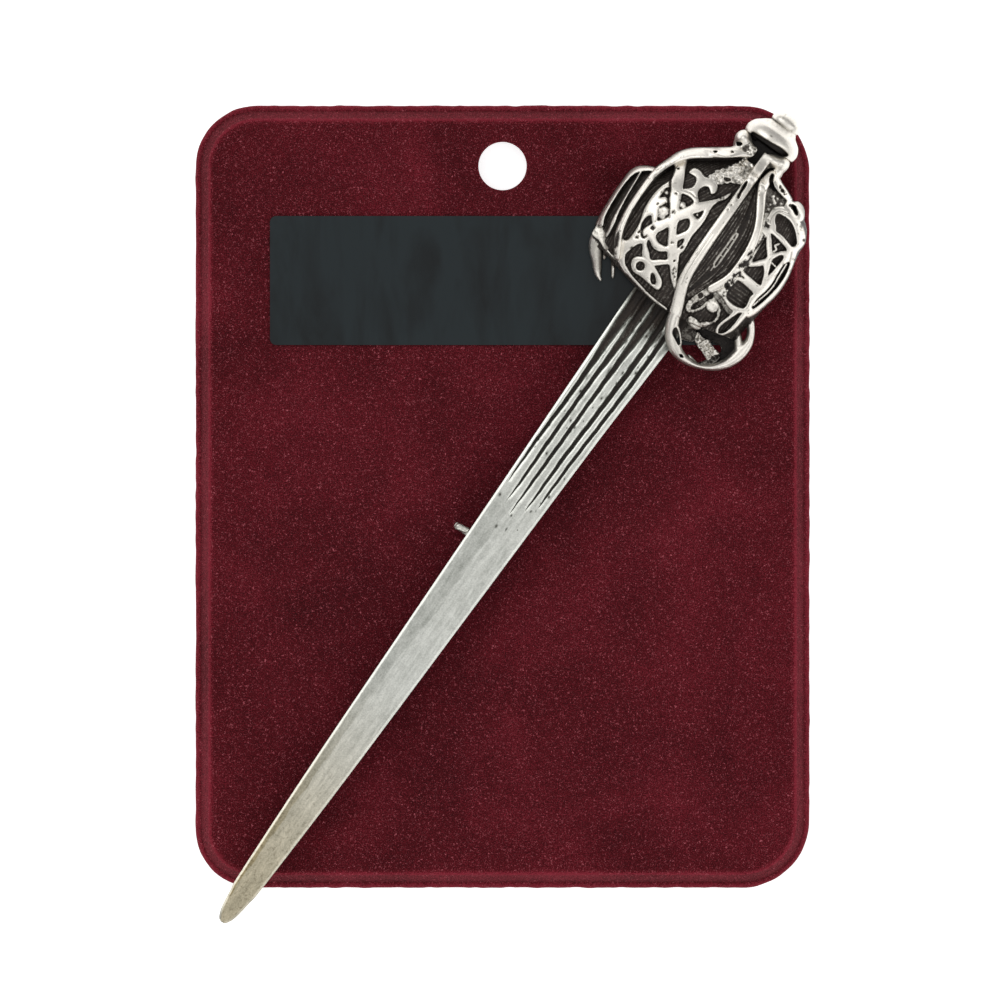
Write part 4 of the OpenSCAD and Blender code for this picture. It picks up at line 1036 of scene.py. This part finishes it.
def makeBlade():
    widths = smoothRun(bladeWidths, 6)
    out = np.concatenate([np.arange(blade["start"], blade["groovesEnd"], blade["groovedStep"]),
                          np.arange(blade["groovesEnd"], blade["plainEnd"], blade["plainStep"]),
                          np.arange(blade["plainEnd"], 91, blade["tipStep"]), [blade["tip"]]])
    half = np.interp(out, widths[:, 0], widths[:, 1])
    side = np.linspace(-1, 1, blade["columns"])
    across = half[:, None] * side[None, :]
    along = np.repeat(out[:, None], len(side), axis=1)
    fromEdge = half[:, None] - np.abs(across)
    top = blade["thick"] - blade["edgeDrop"] * np.clip(1 - fromEdge / blade["bevel"], 0, 1)
    # the flat falls away a little to both sides, and a low ridge runs right of the middle to the tip
    top -= 0.1 * (np.abs(across) / 3.2) ** 2
    top += 0.02 * np.exp(-((across - 0.35 * half[:, None]) / 0.2) ** 2) * smoothStep(36, 44, along)
    # where hand filing left the surface uneven
    top += 0.006 * np.sin(along * 0.9 + across * 2.1) * np.sin(along * 0.37 - across * 1.3)
    dark = np.zeros_like(across)
    turn = math.radians(blade["turn"])
    streak = bladeStreaks(along, across)
    for rows in grooves:
        rows = np.array(rows)
        centre = np.interp(along, rows[:, 0], rows[:, 1]) - blade["shift"] - along * math.tan(turn)
        centre -= 0.1 * smoothStep(26, 10, along)
        centre += 0.015 * np.sin(along * 1.9 + rows[0, 1] * 5) + 0.01 * np.sin(along * 4.3 + rows[0, 1])
        width = np.interp(along, rows[:, 0], rows[:, 2])
        fade = smoothStep(rows[-1, 0] + 0.1, rows[-1, 0] - 0.7, along)
        q = np.exp(-((across - centre) / (width * 0.5)) ** 4)
        top -= np.minimum(blade["grooveDepth"], 0.7 * width) * fade * q
        # the lands between the grooves round off towards them
        beside = np.maximum(np.abs(across - centre) - width / 2, 0)
        top -= blade["shoulder"] * fade * np.exp(-(beside / 0.2) ** 2)
        # the broad parts hold brown patina with scratches through it, the narrow parts are black
        hold = 1 - 0.42 * smoothStep(0.3, 0.75, width) * streak
        spread = width * (0.43 + 0.12 * smoothStep(0.35, 0.8, width))
        dark = np.maximum(dark, fade * hold * np.exp(-((across - centre) / spread) ** 4))
    # a wall goes down to the flat back at both edges
    upper = np.stack([across, -along, top], axis=-1)
    walls = [np.stack([across[:, k], -out, 0 * out], axis=-1)[:, None] for k in (0, -1)]
    ring = np.concatenate([walls[0], upper, walls[1]], axis=1)
    bow = 0.1 * smoothStep(26, 10, -ring[..., 1])
    x = ring[..., 0] * math.cos(turn) - ring[..., 1] * math.sin(turn) + blade["shift"] + bow
    y = ring[..., 0] * math.sin(turn) + ring[..., 1] * math.cos(turn)
    points = np.stack([x, y, ring[..., 2]], axis=-1).reshape(-1, 3)
    shine = 1 - 0.97 * dark
    # patina lies thick on everything close under the basket, and in specks on the right-hand lands
    nearHilt = smoothStep(13, 8, along - 1.3 * np.sin(across * 2.6) + 1.5 * streak)
    shine = shine * (1 - 0.85 * nearHilt)
    shine = shine * (1 - 0.6 * smoothStep(0.6, 0.9, streak) * smoothStep(30, 9, along))
    shine = shine * (1 - 0.2 * streak)
    # filed in two facets below the grooves: the left one is duller, and their border wanders
    border = -0.55 - 0.45 * smoothStep(50, 56, along)
    border = border + 0.07 * np.sin(along * 1.3) + 0.04 * np.sin(along * 3.1)
    facet = smoothStep(0.1, -0.1, across - border) * smoothStep(33, 37, along)
    # a painted highlight along the low ridge right of the middle
    paintedRidgeHighlight = np.exp(-((across - 0.95) / 0.16) ** 2)
    paintedRidgeHighlight = paintedRidgeHighlight * smoothStep(45, 49, along) * smoothStep(64, 58, along)
    # tarnish grows towards the tip, and most on the left facet
    warm = smoothStep(blade["tarnishFrom"], 90, along) * (0.65 + 0.35 * facet)
    shine = shine * (0.95 - 0.13 * facet + 0.05 * paintedRidgeHighlight - 0.12 * warm)
    specks = np.random.default_rng(21)
    for s in range(blade["specks"]):
        place = 8.5 + 30 * specks.random() ** 1.7, -2.6 + 5.1 * specks.random() ** 0.6
        size = 0.05 + 0.1 * specks.random()
        gap = ((along - place[0]) / (size * 1.4)) ** 2 + ((across - place[1]) / size) ** 2
        shine = shine * (1 - 0.8 * np.exp(-gap))
    # the bevels carry a painted highlight along their whole length, brightest on the left one, which faces
    # the light; rubbing also thinned their tarnish
    rubbed = smoothStep(blade["bevel"], 0.6 * blade["bevel"], fromEdge) * smoothStep(8, 14, along)
    rubbed = rubbed * np.where(across < 0, 1, 0.5)
    shine = shine + (1 - shine) * rubbed
    warm = warm * (1 - 0.6 * rubbed)
    # the walls take their tones from the edges above them
    shine, warm = (np.concatenate([tone[:, :1], tone, tone[:, -1:]], axis=1).ravel()
                   for tone in (shine, warm))
    makeObject("swordBlade", swordToWorld(points), tubeFaces(*ring.shape[:2], 1), rubbedPewter, "blade",
               {"polish": np.clip(shine, 0.03, 1), "warm": warm})


def bladeStreaks(along, across):
    # scratches and specks that run with the blade, from 0 to 1
    noise = np.random.default_rng(11)
    value = np.zeros_like(across)
    for long, wide, weight in ((6, 0.5, 0.3), (2.2, 0.22, 0.35), (0.7, 0.14, 0.35)):
        grid = noise.random((int(92 / long) + 3, int(8 / wide) + 3))
        value += weight * between(grid, along / long, (across + 4) / wide, soft=True)
    return np.clip((value - 0.2) / 0.6, 0, 1)


makeBlade()
print("blade made")


# the pommel: a round bun with a button on it, turned on one axis

pommel = {"y": 13.3, "axisZ": 1.2, "bunShift": -0.1, "buttonShift": 0.12, "sides": 180}
# columns: distance along the axis, radius
pommelProfile = [
    [0, 0.3], [0.01, 1.9], [0.02, 3], [0.08, 3.17], [0.45, 3.25], [0.8, 3.25], [1.15, 3.14], [1.45, 2.97],
    [1.75, 2.73], [2.1, 2.27], [2.35, 1.98], [2.54, 1.76], [2.68, 1.62], [2.8, 1.68], [2.95, 1.73],
    [3.2, 1.73], [3.45, 1.63], [3.7, 1.42], [3.9, 1.16], [4.04, 0.85], [4.12, 0.55], [4.15, 0.25],
]


def makePommel():
    run = smoothRun(pommelProfile, 5)
    turn = np.linspace(0, 2 * math.pi, pommel["sides"], endpoint=False)
    along, radius = run[:, 0][:, None], run[:, 1][:, None]
    # cast and filed by hand: not quite round
    radius = radius * (1 + 0.01 * np.sin(3 * turn + 1) + 0.006 * np.sin(5 * turn + along))
    shift = pommel["bunShift"] + (pommel["buttonShift"] - pommel["bunShift"]) * smoothStep(2.2, 2.8, along)
    x = shift + radius * np.cos(turn)
    z = np.maximum(pommel["axisZ"] + radius * np.sin(turn), 0.0)
    y = pommel["y"] + along + 0 * turn
    # the cavity under it reaches up into its face
    cavity = smoothStep(-0.03, 0.1, insideLoop(collarHollows[0], x, y)) * (z > 1.5)
    z = z - 1.1 * cavity
    points = np.stack([x, y, z], axis=-1).reshape(-1, 3)
    # the crease under the button is deepest on the left, and grey streaks run out of it
    crease = np.exp(-((along - 2.7) / 0.13) ** 2) * smoothStep(1.6, -1.2, x)
    crease = crease + 0.25 * np.exp(-((along - 2.3) / 0.2) ** 2) * np.sin(x * 5 + 1) ** 2
    crease = crease + 0.3 * np.exp(-((x + 0.5) / 0.1) ** 2) * smoothStep(2.8, 3.2, along)
    pit = np.exp(-(((x + 0.42) / 0.16) ** 2 + ((y - 14.32) / 0.09) ** 2)) * (z > 2)
    # the cavity under it is darkened with patina and painted shade
    shine = (1 - 0.7 * crease) * (1 - 0.75 * pit) * (1 - 0.97 * cavity)
    shine = np.clip(0.93 * shine, 0.03, 0.9).ravel()
    makeObject("swordPommel", swordToWorld(points), tubeFaces(len(run), pommel["sides"], -1), castPewter,
               "pommel", {"polish": shine, "warm": 0 * shine})


makePommel()
print("pommel made")


# the display card: a folded tray of flocked sheet, with a round hang hole

# corners: the radii at the top right, top left, low left and low right
card = {
    "corners": [7.3, 6.7, 6.4, 7.4], "lip": 0.5, "wallRun": 0.9, "sheet": 1.0, "holeDrop": 6.6,
    "holeR": 2.65, "fuzz": 0.05, "fuzzRows": 12, "ringPoints": 4 * 260, "longSide": 1.12,
}
cardMiddle = np.array([0.0, (cardHigh.y + cardLow.y) / 2 / mm])


def cardRing(inset):
    # the card's outline drawn in by inset: every ring has the same count, so that rings join
    w = (cardHigh.x - cardLow.x) / 2 / mm - inset
    h = (cardHigh.y - cardLow.y) / 2 / mm - inset
    radii = [max(corner - inset, 0.6) for corner in card["corners"]]
    turns = [(1, 1, 0), (-1, 1, 90), (-1, -1, 180), (1, -1, 270)]
    longN = int(card["ringPoints"] / 4 / card["longSide"])
    arcN = card["ringPoints"] // 4 - longN
    points = []
    for (sx, sy, start), r, nextR in zip(turns, radii, radii[1:] + radii[:1]):
        a = np.radians(start + 90 * np.arange(arcN + 1) / arcN)
        arc = np.array([sx * (w - r), sy * (h - r)]) + r * np.stack([np.cos(a), np.sin(a)], axis=1)
        if start in (0, 180):
            nextStart = np.array([-sx * (w - nextR), sy * h])
        else:
            nextStart = np.array([sx * w, -sy * (h - nextR)])
        t = (np.arange(longN) / longN)[:, None]
        points += [arc[:-1], arc[-1] + t * (nextStart - arc[-1])]
    return np.concatenate(points) + cardMiddle


def holeOutline(ring, holeY, radius):
    # the hole's circle, point for point with a ring round the card
    a = np.unwrap(np.arctan2(ring[:, 1] - holeY, ring[:, 0]))
    a = a[0] + np.linspace(0, 2 * math.pi, len(a), endpoint=False) * 0.35 + (a - a[0]) * 0.65
    return np.stack([radius * np.cos(a), holeY + radius * np.sin(a)], axis=1)


def makeCard():
    high = (cardHigh.z - cardLow.z) / mm
    holeY = cardHigh.y / mm - card["holeDrop"]
    lip, run, sheet, count = card["lip"], card["wallRun"], card["sheet"], card["ringPoints"]
    # the sheet's section from the outer edge up over the wall; columns: inset, height, edge tone.
    # The edge tone is lighter along the lip where the nap leans over, a painted highlight along
    # the wall's crest, and painted shade on the wall between them.
    profile = [
        [0.0, 0.02, 0.1], [0.0, 0.5, 0.5], [0.02, 0.8, 0.9], [0.12, 0.96, 1.0], [0.28, 1.0, 0.8],
        [lip - 0.06, 1.0, 0.5], [lip + 0.04, 1.06, 0.15], [lip + 0.16, 1.3, 0.2],
        [lip + 0.5 * run, 2.0, 0.35], [lip + 0.88 * run, high - 0.28, 0.4],
        [lip + run, high - 0.07, 0.9], [lip + run + 0.14, high - 0.005, 0.9],
        [lip + run + 0.35, high, 0.3], [lip + run + 0.7, high, 0.0],
    ]
    # each row is a ring of points, its height and its edge tone
    rows = [(cardRing(inset), height, tone) for inset, height, tone in smoothRun(profile, 2)]
    outer, flat = rows[0][0], rows[-1][0]
    # from there the flat closes in on the hang hole, down through it and back under the sheet to the foot
    hole = holeOutline(flat, holeY, card["holeR"] + 0.16)
    rows += [(flat * (1 - t) + hole * t, high, 0.0) for t in np.linspace(0, 1, 90)[1:]]
    # the edge tone paints a highlight round the hole's top edge and shade down its wall; below, the sheet's
    # underside is painted in shade
    for r, height, tone in ((0.05, high - 0.03, 0.6), (0.0, high - 0.14, 0.7),
                            (0.0, high - sheet + 0.1, -0.9), (0.1, high - sheet, -0.6)):
        rows.append((holeOutline(outer, holeY, card["holeR"] + r), height, tone))
    hole, under = rows[-1][0], cardRing(lip + run + sheet)
    rows += [(hole * (1 - t) + under * t, high - sheet, -0.5) for t in np.linspace(0, 1, 20)[1:]]
    rows.append((cardRing(lip + sheet), 0.02, -0.5))
    xy = np.array([row[0] for row in rows])
    z = np.repeat([row[1] for row in rows], count)
    edge = np.repeat([row[2] for row in rows], count)
    # fibres stand proud of the rim by uneven amounts
    fuzz = np.random.default_rng(4).normal(0, 1, count)
    fuzz = np.concatenate([fuzz[-2:], fuzz, fuzz[:2]])
    fuzz = np.convolve(fuzz, [0.15, 0.25, 0.3, 0.25, 0.15], "same")[2:-2]
    outward = xy[0] - cardMiddle
    outward = outward / np.linalg.norm(outward, axis=1)[:, None]
    for i in range(card["fuzzRows"]):
        xy[i] += outward * (card["fuzz"] * (fuzz + 1.6) * (1 - i / card["fuzzRows"]))[:, None]
    points = np.concatenate([xy.reshape(-1, 2), z[:, None]], axis=1) * mm
    ring = np.arange(count)
    last = (len(rows) - 1) * count
    foot = np.stack([last + ring, last + (ring + 1) % count, (ring + 1) % count, ring], axis=1)
    makeObject("displayCard", points, [gridFaces(len(rows), count), foot], flock, "display_card",
               {"edge": edge})


makeCard()
print("card made")


# what keeps the frame's own shape: the label, the pin and its catch

catch = {"left": -4.15, "right": -2.6, "y": -40.6, "z": 1.35, "radius": 0.42, "rows": 15, "sides": 24}


def makeCatch(material):
    # the end of the catch's tongue, rolled over, that shows beside the blade
    along = np.linspace(0, 1, catch["rows"])
    turn = np.linspace(0, 2 * math.pi, catch["sides"], endpoint=False)
    radius = catch["radius"] * (1 - 0.35 * np.abs(2 * along - 1) ** 6) * (1 + 0.06 * np.sin(along * 7))
    radius[0] = radius[-1] = 0.12
    x = catch["left"] + (catch["right"] - catch["left"]) * along[:, None] + 0 * turn
    y = catch["y"] + 0.28 * along[:, None] + radius[:, None] * np.cos(turn)
    z = catch["z"] + radius[:, None] * np.sin(turn)
    points = np.stack([x, y, z], axis=-1).reshape(-1, 3)
    makeObject("catchRoll", swordToWorld(points), tubeFaces(catch["rows"], catch["sides"], -1), material,
               None, {})


def giveMaterial(node, material):
    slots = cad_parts[node].data.materials
    slots.clear()
    slots.append(material)


wire = wireMaterial()
giveMaterial("card_label", labelMaterial())
giveMaterial("pin_back", wire)
makeCatch(wire)
print("label and pin finished")


# floor, light and camera

studio = {
    "photoWidth": 110.0, "centreX": -0.28, "centreY": 1.4, "distance": 3000.0, "planeZ": 5.0,
    "floorSize": 4, "floor": "#ececec", "glow": "#ffffff", "floorGlow": 0.72, "tentStrength": 0.92,
    "tent": [(0.0, "#8e8e8e"), (0.3, "#969696"), (0.75, "#d0d0d0"), (0.93, "#eaeaea"), (1.0, "#f6f6f6")],
}


def makeStudio():
    bpy.ops.mesh.primitive_plane_add(size=studio["floorSize"], location=(0, 0, 0))
    floor = bpy.context.object
    floor.name = "floor"
    material, tree = newMaterial("paleFloor")
    # it glows a little, as a light table does under a product shot
    addShader(tree, {"Base Color": linear(studio["floor"]), "Roughness": 0.9,
                     "Emission Strength": studio["floorGlow"], "Emission Color": linear(studio["glow"])})
    floor.data.materials.append(material)
    lights = [
        # name, place, size, power, all in metres and watts
        ["keyLight", (-0.6, 0.75, 0.95), (1.2, 1.2), 5.8],
        ["fillLight", (0.9, -0.35, 0.8), (0.8, 1.2), 2.9],
        ["frontLight", (-0.1, -1.0, 0.75), (1.4, 0.8), 2.6],
    ]
    for name, place, size, power in lights:
        data = bpy.data.lights.new(name, "AREA")
        data.shape = "RECTANGLE"
        data.size, data.size_y = size
        data.energy = power
        light = bpy.data.objects.new(name, data)
        light.location = place
        light.rotation_euler = (-Vector(place)).to_track_quat("-Z", "Y").to_euler()
        bpy.context.scene.collection.objects.link(light)
    # the tent: pale overhead, darker towards the horizon, so that curved metal has an edge
    world = bpy.data.worlds.new("studioAir")
    world.use_nodes = True
    tree = world.node_tree
    sky = addNode(tree, "ShaderNodeTexCoord", {})
    parts = addNode(tree, "ShaderNodeSeparateXYZ", {}, {"Vector": sky.outputs["Generated"]})
    background = tree.nodes["Background"].inputs
    tree.links.new(addRamp(tree, parts.outputs["Z"], studio["tent"]), background["Color"])
    background["Strength"].default_value = studio["tentStrength"]
    bpy.context.scene.world = world
    bpy.context.scene.view_settings.view_transform = "Standard"


def makeCamera():
    data = bpy.data.cameras.new("camera")
    data.sensor_width = 36
    reach = studio["distance"] - studio["planeZ"]
    data.lens = data.sensor_width * reach / studio["photoWidth"]
    data.clip_start, data.clip_end = 0.05, 10
    camera = bpy.data.objects.new("camera", data)
    camera.location = (studio["centreX"] * mm, studio["centreY"] * mm, studio["distance"] * mm)
    bpy.context.scene.collection.objects.link(camera)
    bpy.context.scene.camera = camera


makeStudio()
makeCamera()
print("studio made")
